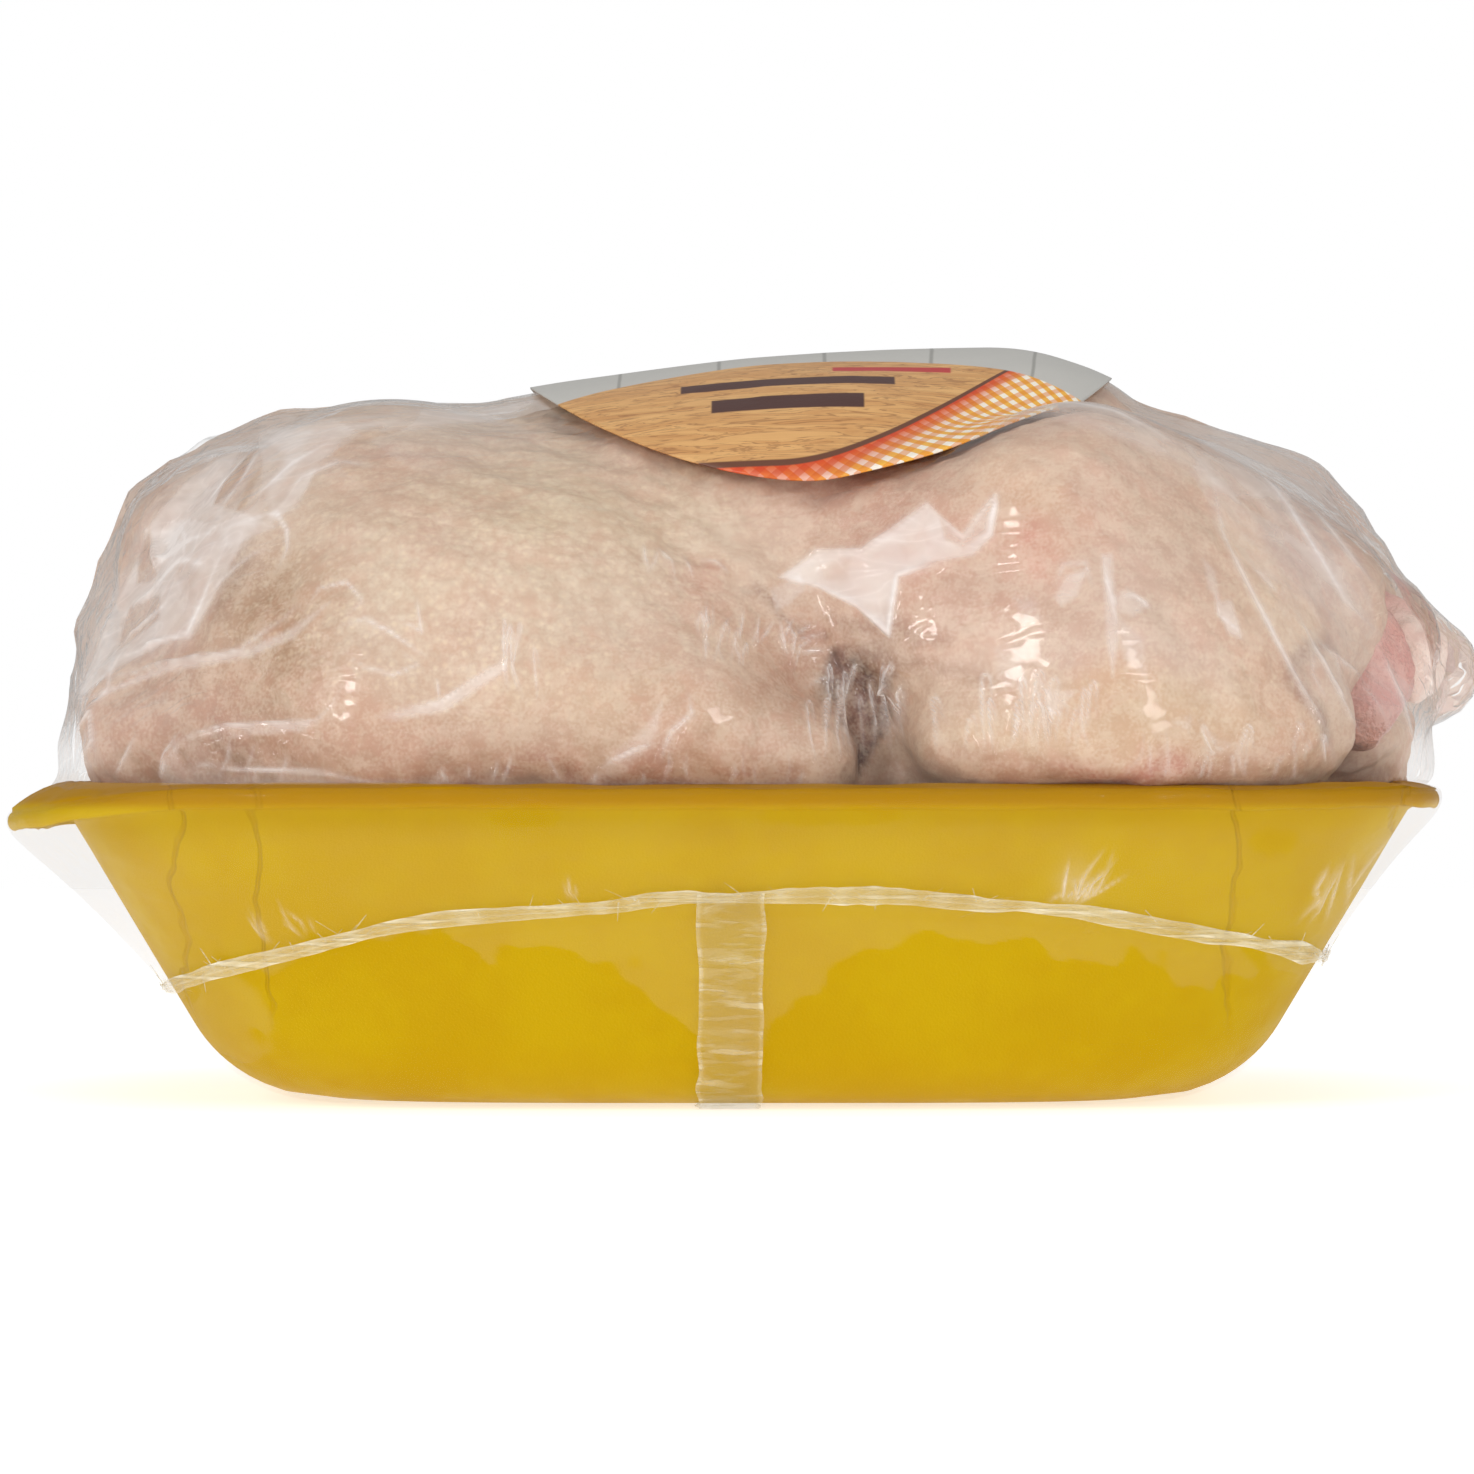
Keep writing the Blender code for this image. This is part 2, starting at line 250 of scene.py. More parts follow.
FAR_LEG = FleshGroup(
    (
        Mass((0.076, 0.034, 0.078), (0.049, 0.047, 0.046)),
        Limb((0.070, 0.044, 0.107), 0.0225, (0.112, 0.024, 0.090), 0.0155),
        Mass((0.1122, 0.008, 0.067), (0.0165, 0.030, 0.0125)),
    ),
    0.0030,
)
HOCKS = (
    Limb((0.116, -0.030, 0.084), 0.0120, (0.112, -0.034, 0.068), 0.0080),
    Limb((0.116, 0.020, 0.087), 0.0135, (0.1305, 0.006, 0.0795), 0.0088),
)
BIRD = (BODY, NECK, NEAR_LEG, FAR_LEG)
GROUP_BLEND = 0.0012


def bird_distance(points: np.ndarray, with_hocks: bool = True) -> np.ndarray:
    """Distance to the bird: its groups meet in creases, because their join is narrow.

    Args:
        points: places to measure from.
        with_hocks: whether the ends of the legs count.

    Returns:
        Signed distances, negative inside.
    """
    groups = [group.distance(points) for group in BIRD]
    if with_hocks:
        groups += [hock.distance(points) for hock in HOCKS]
    return blended(groups, GROUP_BLEND)


def march(origin: np.ndarray, rays: np.ndarray, start: float, with_hocks: bool) -> np.ndarray:
    """Walks in from outside along rays until the bird is met.

    Args:
        origin: start of each ray.
        rays: unit directions.
        start: distance from the origin at which the walk begins.
        with_hocks: whether the ends of the legs count.

    Returns:
        Distances from the origins to the bird's surface.
    """
    reach = np.full(rays.shape[:-1], start)
    for _ in range(45):
        gap = bird_distance(origin + rays * reach[..., None], with_hocks)
        reach = np.maximum(reach - 0.8 * gap, 0.004)
    return reach


def spline_weights(share: np.ndarray) -> np.ndarray:
    """The four weights of a uniform cubic B-spline at a share of the way between knots."""
    rest = 1.0 - share
    return np.stack(
        [
            rest**3,
            3.0 * share**3 - 6.0 * share**2 + 4.0,
            -3.0 * share**3 + 3.0 * share**2 + 3.0 * share + 1.0,
            share**3,
        ]
    ) / 6.0


def sample_net(net: np.ndarray, rows: np.ndarray, columns: np.ndarray) -> np.ndarray:
    """Points of the smooth surface that a net of knots controls; its columns wrap round.

    Args:
        net: knots, as rows by columns by three.
        rows: places along the net's rows, in knots.
        columns: places along its columns, in knots, of the same shape as rows.

    Returns:
        Points, one a place.
    """
    row, column = np.floor(rows).astype(int), np.floor(columns).astype(int)
    row_weights, column_weights = spline_weights(rows - row), spline_weights(columns - column)
    total = np.zeros((*rows.shape, net.shape[-1]))
    for i in range(4):
        at_row = np.clip(row + i - 1, 0, net.shape[0] - 1)
        for j in range(4):
            at_column = (column + j - 1) % net.shape[1]
            total += (row_weights[i] * column_weights[j])[..., None] * net[at_row, at_column]
    return total


def grid_normals(points: np.ndarray, outward_from: np.ndarray) -> np.ndarray:
    """Unit normals of a grid of points, turned away from a place inside."""
    normals = np.cross(np.gradient(points, axis=1), np.gradient(points, axis=0))
    normals /= np.maximum(np.linalg.norm(normals, axis=-1, keepdims=True), 1e-12)
    facing = ((points - outward_from) * normals).sum(axis=-1, keepdims=True)
    return normals * np.where(facing < 0.0, -1.0, 1.0)


@dataclass
class Surface:
    """A grid of points that becomes a mesh, with values that the finishes read."""

    name: str
    points: np.ndarray
    wraps: bool = False
    first_pole: bool = False
    last_pole: bool = False
    values: dict[str, np.ndarray] = field(default_factory=dict)
    flat_map: np.ndarray | None = None

    def faces(self) -> tuple[np.ndarray, np.ndarray, np.ndarray]:
        """Numbers of the grid's vertices, and its quads and triangles by vertex number."""
        rows, columns = self.points.shape[:2]
        number = np.arange(rows * columns).reshape(rows, columns)
        if self.first_pole:
            number[0] = number[0, 0]
        if self.last_pole:
            number[-1] = number[-1, 0]
        ahead = np.roll(number, -1, axis=1) if self.wraps else number[:, 1:]
        here = number if self.wraps else number[:, :-1]
        quads = np.stack([here[:-1], here[1:], ahead[1:], ahead[:-1]], axis=-1)
        triangles = np.empty((0, 3), dtype=int)
        if self.first_pole:
            triangles = np.concatenate([triangles, quads[0][:, [0, 1, 2]]])
            quads = quads[1:]
        if self.last_pole:
            triangles = np.concatenate([triangles, quads[-1][:, [0, 1, 3]]])
            quads = quads[:-1]
        return number, quads.reshape(-1, 4), triangles

    def build(self) -> bpy.types.Object:
        """Puts the grid into a mesh whose faces point outwards, shaded smooth."""
        number, quads, triangles = self.faces()
        used = np.unique(number)
        renumber = np.zeros(number.size, dtype=int)
        renumber[used] = np.arange(used.size)
        mesh = bpy.data.meshes.new(self.name)
        corners = np.concatenate([renumber[quads].ravel(), renumber[triangles].ravel()])
        starts = np.concatenate(
            [np.arange(len(quads)) * 4, len(quads) * 4 + np.arange(len(triangles)) * 3]
        )
        mesh.vertices.add(used.size)
        mesh.loops.add(corners.size)
        mesh.polygons.add(starts.size)
        mesh.vertices.foreach_set("co", self.points.reshape(-1, 3)[used].ravel())
        mesh.loops.foreach_set("vertex_index", corners)
        mesh.polygons.foreach_set("loop_start", starts)
        mesh.update(calc_edges=True)
        mesh.validate()
        for name, value in self.values.items():
            self._add_values(mesh, name, value, used)
        if self.flat_map is not None:
            layer = mesh.uv_layers.new(name="flat_map")
            flat = self.flat_map.reshape(-1, 2)[used][corners]
            layer.data.foreach_set("uv", flat.ravel())
        mesh.shade_smooth()
        thing = bpy.data.objects.new(self.name, mesh)
        bpy.context.scene.collection.objects.link(thing)
        return thing

    def _add_values(
        self, mesh: bpy.types.Mesh, name: str, value: np.ndarray, used: np.ndarray
    ) -> None:
        """Adds one value or colour a vertex, under a name that a finish reads."""
        if value.ndim == self.points.ndim:
            colour = np.concatenate([value, np.ones((*value.shape[:-1], 1))], axis=-1)
            layer = mesh.attributes.new(name, "FLOAT_COLOR", "POINT")
            layer.data.foreach_set("color", colour.reshape(-1, 4)[used].ravel())
        else:
            layer = mesh.attributes.new(name, "FLOAT", "POINT")
            layer.data.foreach_set("value", value.reshape(-1)[used].ravel())


@dataclass(frozen=True)
class TrayForm:
    """Sizes of the foam tray, and the curves that its surfaces and the film follow."""

    height: float = 0.0585
    foam: float = 0.0035
    bowl_half: tuple[float, float] = (0.1225, 0.0820)
    slopes: tuple[float, float] = (0.58, 0.40)
    roundings: tuple[float, float] = (0.024, 0.016)
    corner_power: float = 4.0
    rim_left: float = 0.0118
    rim_right: float = 0.0068
    rim_side: float = 0.0105
    curl: float = 0.0010
    curl_left: float = 0.0055

    def oval(self, angle: np.ndarray, length: np.ndarray, width: np.ndarray) -> np.ndarray:
        """Plan radius of a rectangle with soft corners: a super-ellipse of the corner power."""
        power = self.corner_power
        along, across = np.abs(np.cos(angle)) / length, np.abs(np.sin(angle)) / width
        return (along**power + across**power) ** (-1.0 / power)

    def half_size(self, way: int, height: np.ndarray, grow: float) -> np.ndarray:
        """Half size of the bowl along X (0) or Y (1), grown outward by a thickness.

        The wall is a straight slope, with a round fillet to a flat floor.

        Args:
            way: 0 for the length, 1 for the width.
            height: height above the floor of the grown bowl.
            grow: thickness added outside the bowl.

        Returns:
            Half sizes, one a height.
        """
        slope = self.slopes[way]
        depth = self.height - self.foam + grow
        top = self.bowl_half[way] + grow * math.hypot(1.0, slope)
        rounding = self.roundings[way] + grow
        lean = math.atan(slope)
        fillet_top = rounding * (1.0 - math.sin(lean))
        centre = top - slope * (depth - fillet_top) - rounding * math.cos(lean)
        below = np.clip(rounding - height, 0.0, rounding)
        curved = centre + np.sqrt(rounding**2 - below**2)
        return np.where(height > fillet_top, top - slope * (depth - height), curved)

    def inner(self, angle: np.ndarray, level: np.ndarray) -> np.ndarray:
        """Plan radius of the bowl's inside at a level above the table."""
        height = np.maximum(level - self.foam, 0.0)
        sizes = [self.half_size(way, height, 0.0) for way in (0, 1)]
        return self.oval(angle, *sizes)

    def outer(self, angle: np.ndarray, level: np.ndarray, gap: float = 0.0) -> np.ndarray:
        """Plan radius of the wall's outside at a level above the table, plus a gap."""
        height = np.maximum(level, 0.0)
        sizes = [self.half_size(way, height, self.foam) + gap for way in (0, 1)]
        return self.oval(angle, *sizes)

    def rim_width(self, angle: np.ndarray) -> np.ndarray:
        """Width of the rim: widest at the left end, narrow at the right."""
        side = np.abs(np.sin(angle)) ** 2
        end = np.where(np.cos(angle) < 0.0, self.rim_left, self.rim_right)
        return end * (1.0 - side) + self.rim_side * side

    def rim_drop(self, angle: np.ndarray) -> np.ndarray:
        """How far the rim's edge bends down: most at the left end."""
        left = smooth_step((-np.cos(angle) - 0.75) / 0.22)
        return self.curl + (self.curl_left - self.curl) * left

    def lip(self, angle: np.ndarray) -> tuple[np.ndarray, np.ndarray]:
        """Plan radius and level of the rim's outer edge, at its upper face."""
        radius = self.inner(angle, np.full(angle.shape, self.height)) + self.rim_width(angle)
        return radius, self.height - self.rim_drop(angle)


TRAY = TrayForm()


@dataclass(frozen=True)
class FilmForm:
    """The clear film's smooth shape: a net of knots from the top down and under the tray."""

    centre: Triple = (0.0, 0.0, 0.070)
    edge_half: tuple[float, float] = (0.1265, 0.0895)
    edge_shift: float = 0.0018
    dome_rows: int = 56
    net_columns: int = 180
    cling: float = 0.62
    cling_left: float = 0.05
    cling_right: float = 0.12
    cling_top: float = 0.15
    gathers: tuple[Triple, ...] = (
        (-0.0915, 0.000, 0.1285),
        (-0.1085, 0.000, 0.1190),
        (-0.1172, 0.000, 0.1095),
        (-0.1250, 0.000, 0.0900),
        (0.0900, 0.000, 0.1280),
        (0.1110, 0.008, 0.1220),
        (0.1215, 0.010, 0.1055),
    )

    def edge(self, angle: np.ndarray) -> np.ndarray:
        """The closed line where the film comes down onto the rim."""
        radius = TRAY.oval(angle, *self.edge_half)
        level = np.full(angle.shape, TRAY.height + 0.0005)
        across = radius * np.sin(angle)
        return np.stack([radius * np.cos(angle) + self.edge_shift, across, level], axis=-1)

    def stretch(self, normals: np.ndarray) -> np.ndarray:
        """How far the bird, the gathers and the film's edge reach along each direction."""
        parts = [part for group in BIRD for part in group.parts] + list(HOCKS)
        edge = self.edge(np.linspace(0.0, FULL_TURN, 180, endpoint=False))
        held = np.concatenate([edge, np.array(self.gathers)])
        reach = [part.reach(normals) for part in parts] + [(normals @ held.T).max(axis=-1)]
        return np.max(reach, axis=0) - normals @ np.array(self.centre)

    def taut(self, rays: np.ndarray) -> np.ndarray:
        """Distance from the centre to a film pulled tight.

        Every tangent plane of what it covers bounds the film, so it lies at the nearest of them:
        the best of an even set of planes, then that plane tilted in ever smaller steps.
        """
        count = 3000
        step = np.arange(count) + 0.5
        height = 1.0 - 2.0 * step / count
        turn = step * math.pi * (3.0 - math.sqrt(5.0))
        flat = np.sqrt(1.0 - height**2)
        planes = np.stack([flat * np.cos(turn), flat * np.sin(turn), height], axis=1)
        facing = rays @ planes.T
        reach = np.where(facing > 0.05, self.stretch(planes) / np.maximum(facing, 0.05), np.inf)
        normal, best = planes[reach.argmin(axis=1)], reach.min(axis=1)
        tilt = 0.04
        for _ in range(9):
            for axis in (*np.eye(3), *-np.eye(3)):
                tried = normal + tilt * axis
                tried /= np.linalg.norm(tried, axis=1, keepdims=True)
                facing = (tried * rays).sum(axis=1)
                reach = self.stretch(tried) / np.maximum(facing, 0.05)
                reach = np.where(facing > 0.05, reach, np.inf)
                better = reach < best
                normal[better], best[better] = tried[better], reach[better]
            tilt *= 0.6
        return best

    def dome(self, angle: np.ndarray) -> np.ndarray:
        """Knots over the bird, from the top down to the rim, as rows by columns by three."""
        edge = self.edge(angle) - np.array(self.centre)
        plan = np.arctan2(edge[:, 1], edge[:, 0])
        lowest = np.arctan2(edge[:, 2], np.hypot(edge[:, 0], edge[:, 1]))
        share = np.linspace(1.0, 0.0, self.dome_rows)[:, None]
        rise = lowest + (0.5 * math.pi - lowest) * share
        rays = np.stack([np.cos(rise) * np.cos(plan), np.cos(rise) * np.sin(plan), np.sin(rise)], axis=-1)
        flat = rays.reshape(-1, 3)
        taut = self.taut(flat).reshape(rise.shape)
        flesh = march(np.array(self.centre), flat, 0.18, True).reshape(rise.shape)
        left = smooth_step((-rays[..., 0] - 0.45) / 0.35)
        right = smooth_step((rays[..., 0] - 0.70) / 0.20)
        top = smooth_step((rays[..., 2] - 0.70) / 0.20)
        cling = self.cling * (1.0 - top) + self.cling_top * top
        cling = cling * (1.0 - left) + self.cling_left * left
        cling = cling * (1.0 - right) + self.cling_right * right
        radius = taut - cling * np.maximum(taut - flesh, 0.0)
        at_edge = smooth_step(share / 0.10)
        radius = radius * at_edge + np.linalg.norm(edge, axis=1) * (1.0 - at_edge)
        return np.array(self.centre) + rays * radius[..., None]

    def seam_level(self, angle: np.ndarray) -> np.ndarray:
        """Level of the weld: highest at the middle of each side, in a flat arch along X."""
        along = TRAY.outer(angle, np.full(angle.shape, 0.030)) * np.cos(angle)
        return 0.0395 - 0.0150 * ((along - 0.010) / 0.105) ** 2

    def skirt(self, angle: np.ndarray) -> list[np.ndarray]:
        """Knots over the rim's edge, and straight down from it to the wall at the weld."""
        radius, level = TRAY.lip(angle)
        seam = self.seam_level(angle)
        wall = TRAY.outer(angle, seam, 0.0007)
        under = level - TRAY.foam
        rings = [
            (radius - 0.0030, level + 0.0007 + 0.15 * TRAY.rim_drop(angle)),
            (radius + 0.0004, level + 0.0005),
            (radius + 0.0007, level - 0.4 * TRAY.foam),
            (radius + 0.0003, under - 0.0004),
        ]
        for share in (0.25, 0.5, 0.75, 1.0):
            sag = 0.0012 * math.sin(math.pi * share)
            out = radius * (1.0 - share) + wall * share - sag
            rings.append((out, under * (1.0 - share) + seam * share))
        return [ring(angle, *sizes) for sizes in rings]

    def hammock(self, angle: np.ndarray) -> list[np.ndarray]:
        """Knots down the wall from the weld, round the foot and in to the middle beneath it."""
        seam = self.seam_level(angle)
        rings = []
        for share in (0.15, 0.3, 0.45, 0.6, 0.72, 0.82, 0.9, 0.96, 1.0):
            level = seam * (1.0 - share) ** 1.15 + 0.00025
            rings.append((TRAY.outer(angle, level, 0.0006), level))
        foot = TRAY.outer(angle, np.zeros(angle.shape), 0.0)
        for share in (0.94, 0.8, 0.6, 0.4, 0.2, 0.0):
            rings.append((foot * share, np.full(angle.shape, 0.0002)))
        return [ring(angle, *sizes) for sizes in rings]


def ring(angle: np.ndarray, radius: np.ndarray, level: np.ndarray) -> np.ndarray:
    """Points at a plan radius and a level, one an angle."""
    return np.stack([radius * np.cos(angle), radius * np.sin(angle), level], axis=-1)


@dataclass
class FilmNet:
    """The film's knots, and places on them."""

    form: FilmForm
    knots: np.ndarray = field(init=False)

    def __post_init__(self) -> None:
        """Works out the knots."""
        angle = np.linspace(0.0, FULL_TURN, self.form.net_columns, endpoint=False)
        rings = [*self.form.dome(angle), *self.form.skirt(angle), *self.form.hammock(angle)]
        self.knots = np.stack(rings)

    @property
    def rim_row(self) -> float:
        """Row of the film's edge on the rim."""
        return self.form.dome_rows - 1.0

    @property
    def lip_row(self) -> float:
        """Row of the rim's outer edge."""
        return self.form.dome_rows + 1.5

    @property
    def seam_row(self) -> float:
        """Row of the weld."""
        return self.form.dome_rows + 7.0

    @property
    def last_row(self) -> float:
        """Row of the middle beneath the tray."""
        return len(self.knots) - 1.0

    def at(self, rows: np.ndarray, angle: np.ndarray) -> np.ndarray:
        """Points of the film at rows and plan angles."""
        columns = angle / FULL_TURN * self.form.net_columns
        rows, columns = np.broadcast_arrays(rows, columns)
        return sample_net(self.knots, rows, columns)

    def even_angles(self, start: float, stop: float, count: int) -> np.ndarray:
        """Plan angles spread evenly along the rim."""
        fine = np.linspace(start, stop, 4000)
        steps = np.linalg.norm(np.diff(self.form.edge(fine), axis=0), axis=1)
        length = np.concatenate([[0.0], np.cumsum(steps)])
        return np.interp(np.linspace(0.0, length[-1], count), length, fine)


@dataclass(frozen=True)
class Fold:
    """A raised line in the film along view marks, highest in its middle."""

    marks: tuple[Mark, ...]
    height: float
    width: float

    def lift(self, flat: np.ndarray) -> np.ndarray:
        """Height of the fold at places: a sharp crest that falls off with distance.

        Args:
            flat: X and Z of places on the shown side.

        Returns:
            Heights in metres.
        """
        line = seen_at(self.marks)
        lengths = np.linalg.norm(np.diff(line, axis=0), axis=1)
        before = np.concatenate([[0.0], np.cumsum(lengths)])
        least = np.full(flat.shape[:-1], np.inf)
        along = np.zeros(flat.shape[:-1])
        for i, (start, end) in enumerate(zip(line, line[1:])):
            way = end - start
            share = np.clip(((flat - start) @ way) / (way @ way), 0.0, 1.0)
            away = np.linalg.norm(flat - start - share[..., None] * way, axis=-1)
            closer = away < least
            least = np.where(closer, away, least)
            along = np.where(closer, before[i] + share * lengths[i], along)
        taper = np.sqrt(np.clip(np.sin(math.pi * along / before[-1]), 0.0, 1.0))
        return self.height * taper * np.exp(-((least / self.width) ** 1.3))


@dataclass(frozen=True)
class Fan:
    """A row of short folds that spread from a line of view marks."""

    start: Mark
    end: Mark
    way: Mark
    spread: float
    length: tuple[float, float]
    count: int
    height: float
    width: float
    seed: int
    loop: float = 0.0

    def folds(self) -> list[Fold]:
        """The fan's folds, each a little bent or looped, at random places along its line."""
        random = np.random.default_rng(self.seed)
        made = []
        for share in np.sort(random.uniform(0.0, 1.0, self.count)):
            foot = np.array(self.start) * (1.0 - share) + np.array(self.end) * share
            turn = math.radians(random.normal(0.0, self.spread))
            way = np.array(self.way) / np.linalg.norm(self.way)
            cos, sin = math.cos(turn), math.sin(turn)
            way = np.array([way[0] * cos - way[1] * sin, way[0] * sin + way[1] * cos])
            length = random.uniform(*self.length)
            bend = np.array([-way[1], way[0]]) * length * random.normal(0.0, 0.08)
            marks = [foot, foot + way * length * 0.5 + bend, foot + way * length]
            if self.loop:
                side = np.array([-way[1], way[0]]) * self.loop * random.uniform(0.6, 1.4)
                marks = [foot - side * 0.6, marks[1] - side, marks[2] - side * 0.7, marks[2] + way * 4.0]
                marks += [foot + way * length + side * 0.7, foot + way * length * 0.5 + bend + side]
            size = random.uniform(0.5, 1.3)
            made.append(
                Fold(tuple((float(a), float(b)) for a, b in marks), self.height * size, self.width)
            )
        return made


@dataclass(frozen=True)
class Spot:
    """A soft round patch on the shown side, by view marks."""

    centre: Mark
    half: Mark
    amount: float = 1.0
    colour: Triple = (0.0, 0.0, 0.0)

    def share(self, flat: np.ndarray) -> np.ndarray:
        """How much of the patch is at places: a bell curve over its half sizes."""
        centre = seen_at([self.centre])[0]
        half = np.array(self.half) * VIEW_PIXEL / SIDE_NEARNESS
        offset = (flat - centre) / half
        return self.amount * np.exp(-0.9 * (offset**2).sum(axis=-1))


@dataclass(frozen=True)
class Patch:
    """A shape of view marks with a crisp edge: on the film, a painted reflection or highlight on a flat
    facet, or a clearer wedge; on the skin, painted shade in a fold or crease, or a patch of skin tone.
    """

    marks: tuple[Mark, ...]
    amount: float
    edge: float = 0.0005
    colour: Triple = (0.0, 0.0, 0.0)

    def share(self, flat: np.ndarray) -> np.ndarray:
        """How much of the patch is at places.

        A place is inside when a ray from it crosses the outline an odd number of times; the edge
        fades over its own width.

        Args:
            flat: X and Z of places on the shown side.

        Returns:
            Shares, of the patch's amount inside.
        """
        line = seen_at(self.marks)
        low, high = line.min(axis=0) - 2.0 * self.edge, line.max(axis=0) + 2.0 * self.edge
        close = ((flat > low) & (flat < high)).all(axis=-1)
        near = flat[close]
        crossings = np.zeros(len(near), dtype=int)
        away = np.full(len(near), np.inf)
        for start, end in zip(line, np.roll(line, -1, axis=0)):
            way = end - start
            along = np.clip(((near - start) @ way) / (way @ way), 0.0, 1.0)
            away = np.minimum(away, np.linalg.norm(near - start - along[:, None] * way, axis=1))
            spans = (start[1] > near[:, 1]) != (end[1] > near[:, 1])
            rise = way[1] if abs(way[1]) > 1e-12 else 1e-12
            crossings += spans & (near[:, 0] < start[0] + way[0] * (near[:, 1] - start[1]) / rise)
        signed = np.where(crossings % 2 == 1, away, -away)
        share = np.zeros(flat.shape[:-1])
        share[close] = self.amount * smooth_step(0.5 + 0.5 * signed / self.edge)
        return share


def crumple(
    flat: np.ndarray, size: float, seed: int, stretch: float = 1.0
) -> tuple[np.ndarray, np.ndarray]:
    """Dents with sharp ridges between them, one round each of many sites.

    A dent's depth grows with the squared distance to its site, the nearest one, and every dent also
    has a random value of its own.

    Args:
        flat: places in the plane of the shown side.
        size: distance between sites.
        seed: which pattern.
        stretch: how much longer the dents are along X than along Z.

    Returns:
        Heights of 0 to about 1, and the values of 0 to 1.
    """
    random = np.random.default_rng(seed)
    scaled = flat / np.array([stretch, 1.0])
    scaled = scaled + 0.35 * size * np.stack(
        [waves(scaled, size * 2.2, seed + 1), waves(scaled, size * 2.2, seed + 2)], axis=-1
    )
    low, high = scaled.reshape(-1, 2).min(axis=0), scaled.reshape(-1, 2).max(axis=0)
    counts = np.maximum(((high - low) / size).astype(int) + 2, 2)
    cells = np.floor((scaled - low) / size).astype(int)
    jitter = random.uniform(0.0, 1.0, size=(*(counts + 3), 3))
    least = np.full(flat.shape[:-1], np.inf)
    own = np.zeros(flat.shape[:-1])
    for i in (-1, 0, 1):
        for j in (-1, 0, 1):
            cell = np.clip(cells + (i, j), -1, counts) + 1
            drawn = jitter[cell[..., 0], cell[..., 1]]
            site = (cells + (i, j) + drawn[..., :2]) * size + low
            away = ((scaled - site) ** 2).sum(axis=-1)
            own = np.where(away < least, drawn[..., 2], own)
            least = np.minimum(least, away)
    return least / (0.5 * size**2), own


FOLDS = (
    Fold(((60, 702), (92, 683), (160, 665), (245, 654), (290, 632), (332, 603)), 0.0013, 0.0010),
    Fold(((238, 540), (232, 560), (221, 582), (205, 612), (187, 637), (150, 644), (90, 672)), 0.0013, 0.0010),
    Fold(((238, 540), (262, 530), (282, 527), (294, 543), (296, 562), (284, 590)), 0.0010, 0.0009),
    Fold(((205, 612), (235, 586), (262, 566), (290, 560)), 0.0006, 0.0007),
    Fold(((125, 512), (140, 556), (235, 540)), 0.0012, 0.0010),
    Fold(((118, 570), (146, 576), (122, 520)), 0.0010, 0.0010),
    Fold(((112, 600), (180, 566), (226, 580)), 0.0012, 0.0010),
    Fold(((90, 660), (130, 622), (186, 594)), 0.0010, 0.0010),
    Fold(((196, 512), (212, 480), (238, 438)), 0.0010, 0.0009),
    Fold(((222, 520), (240, 478), (248, 440)), 0.0008, 0.0009),
    Fold(((250, 520), (290, 470), (318, 452), (332, 440)), 0.0009, 0.0010),
    Fold(((285, 526), (302, 490), (336, 474), (378, 480)), 0.0009, 0.0010),
    Fold(((190, 590), (180, 540), (150, 508)), 0.0007, 0.0009),
    Fold(((70, 720), (100, 690), (118, 640)), 0.0009, 0.0011),
    Fold(((66, 760), (72, 730), (84, 714), (90, 742), (76, 772)), 0.0012, 0.0010),
    Fold(((168, 772), (186, 742), (232, 728), (322, 722), (346, 700), (352, 682)), 0.0013, 0.0010),
    Fold(((186, 742), (196, 762), (232, 768), (330, 772), (400, 785)), 0.0011, 0.0009),
    Fold(((386, 714), (446, 704), (504, 668), (512, 640)), 0.0012, 0.0008),
    Fold(((442, 682), (444, 704)), 0.0010, 0.0006),
    Fold(((316, 622), (330, 602), (356, 596), (372, 614), (352, 632)), 0.0009, 0.0007),
    Fold(((342, 640), (374, 630), (396, 640), (426, 660), (438, 668)), 0.0010, 0.0008),
    Fold(((352, 660), (372, 676), (400, 682), (424, 672), (404, 656)), 0.0009, 0.0007),
    Fold(((422, 602), (428, 640), (402, 626)), 0.0008, 0.0007),
    Fold(((660, 764), (672, 732), (692, 716), (688, 690)), 0.0012, 0.0011),
    Fold(((600, 768), (640, 748), (664, 742)), 0.0010, 0.0010),
    Fold(((780, 577), (818, 552), (863, 552), (897, 528), (927, 503), (942, 520)), 0.0014, 0.0014),
    Fold(((942, 520), (962, 538), (996, 503), (990, 537), (971, 557)), 0.0013, 0.0011),
    Fold(((971, 557), (897, 577), (888, 634), (858, 607), (818, 587), (784, 600)), 0.0013, 0.0013),
    Fold(((1050, 600), (1060, 574), (1082, 572), (1088, 600)), 0.0008, 0.0008),
    Fold(((1098, 560), (1102, 590), (1112, 640)), 0.0009, 0.0009),
    Fold(((1112, 606), (1128, 604), (1140, 612), (1122, 622)), 0.0009, 0.0007),
    Fold(((1206, 590), (1210, 620), (1238, 640)), 0.0009, 0.0008),
    Fold(((1202, 470), (1216, 540), (1246, 600), (1284, 668), (1316, 720), (1334, 764)), 0.0012, 0.0010),
    Fold(((1290, 610), (1330, 680), (1365, 745)), 0.0009, 0.0009),
    Fold(((1230, 440), (1290, 520), (1350, 600), (1400, 640)), 0.0009, 0.0012),
    Fold(((1290, 480), (1340, 540), (1390, 600)), 0.0008, 0.0012),
    Fold(((1384, 640), (1412, 700), (1420, 770)), 0.0009, 0.0010),
    Fold(((1444, 690), (1432, 740), (1427, 785)), 0.0007, 0.0009),
    Fold(((1010, 402), (1050, 408), (1110, 430), (1180, 470)), 0.0008, 0.0012),
)
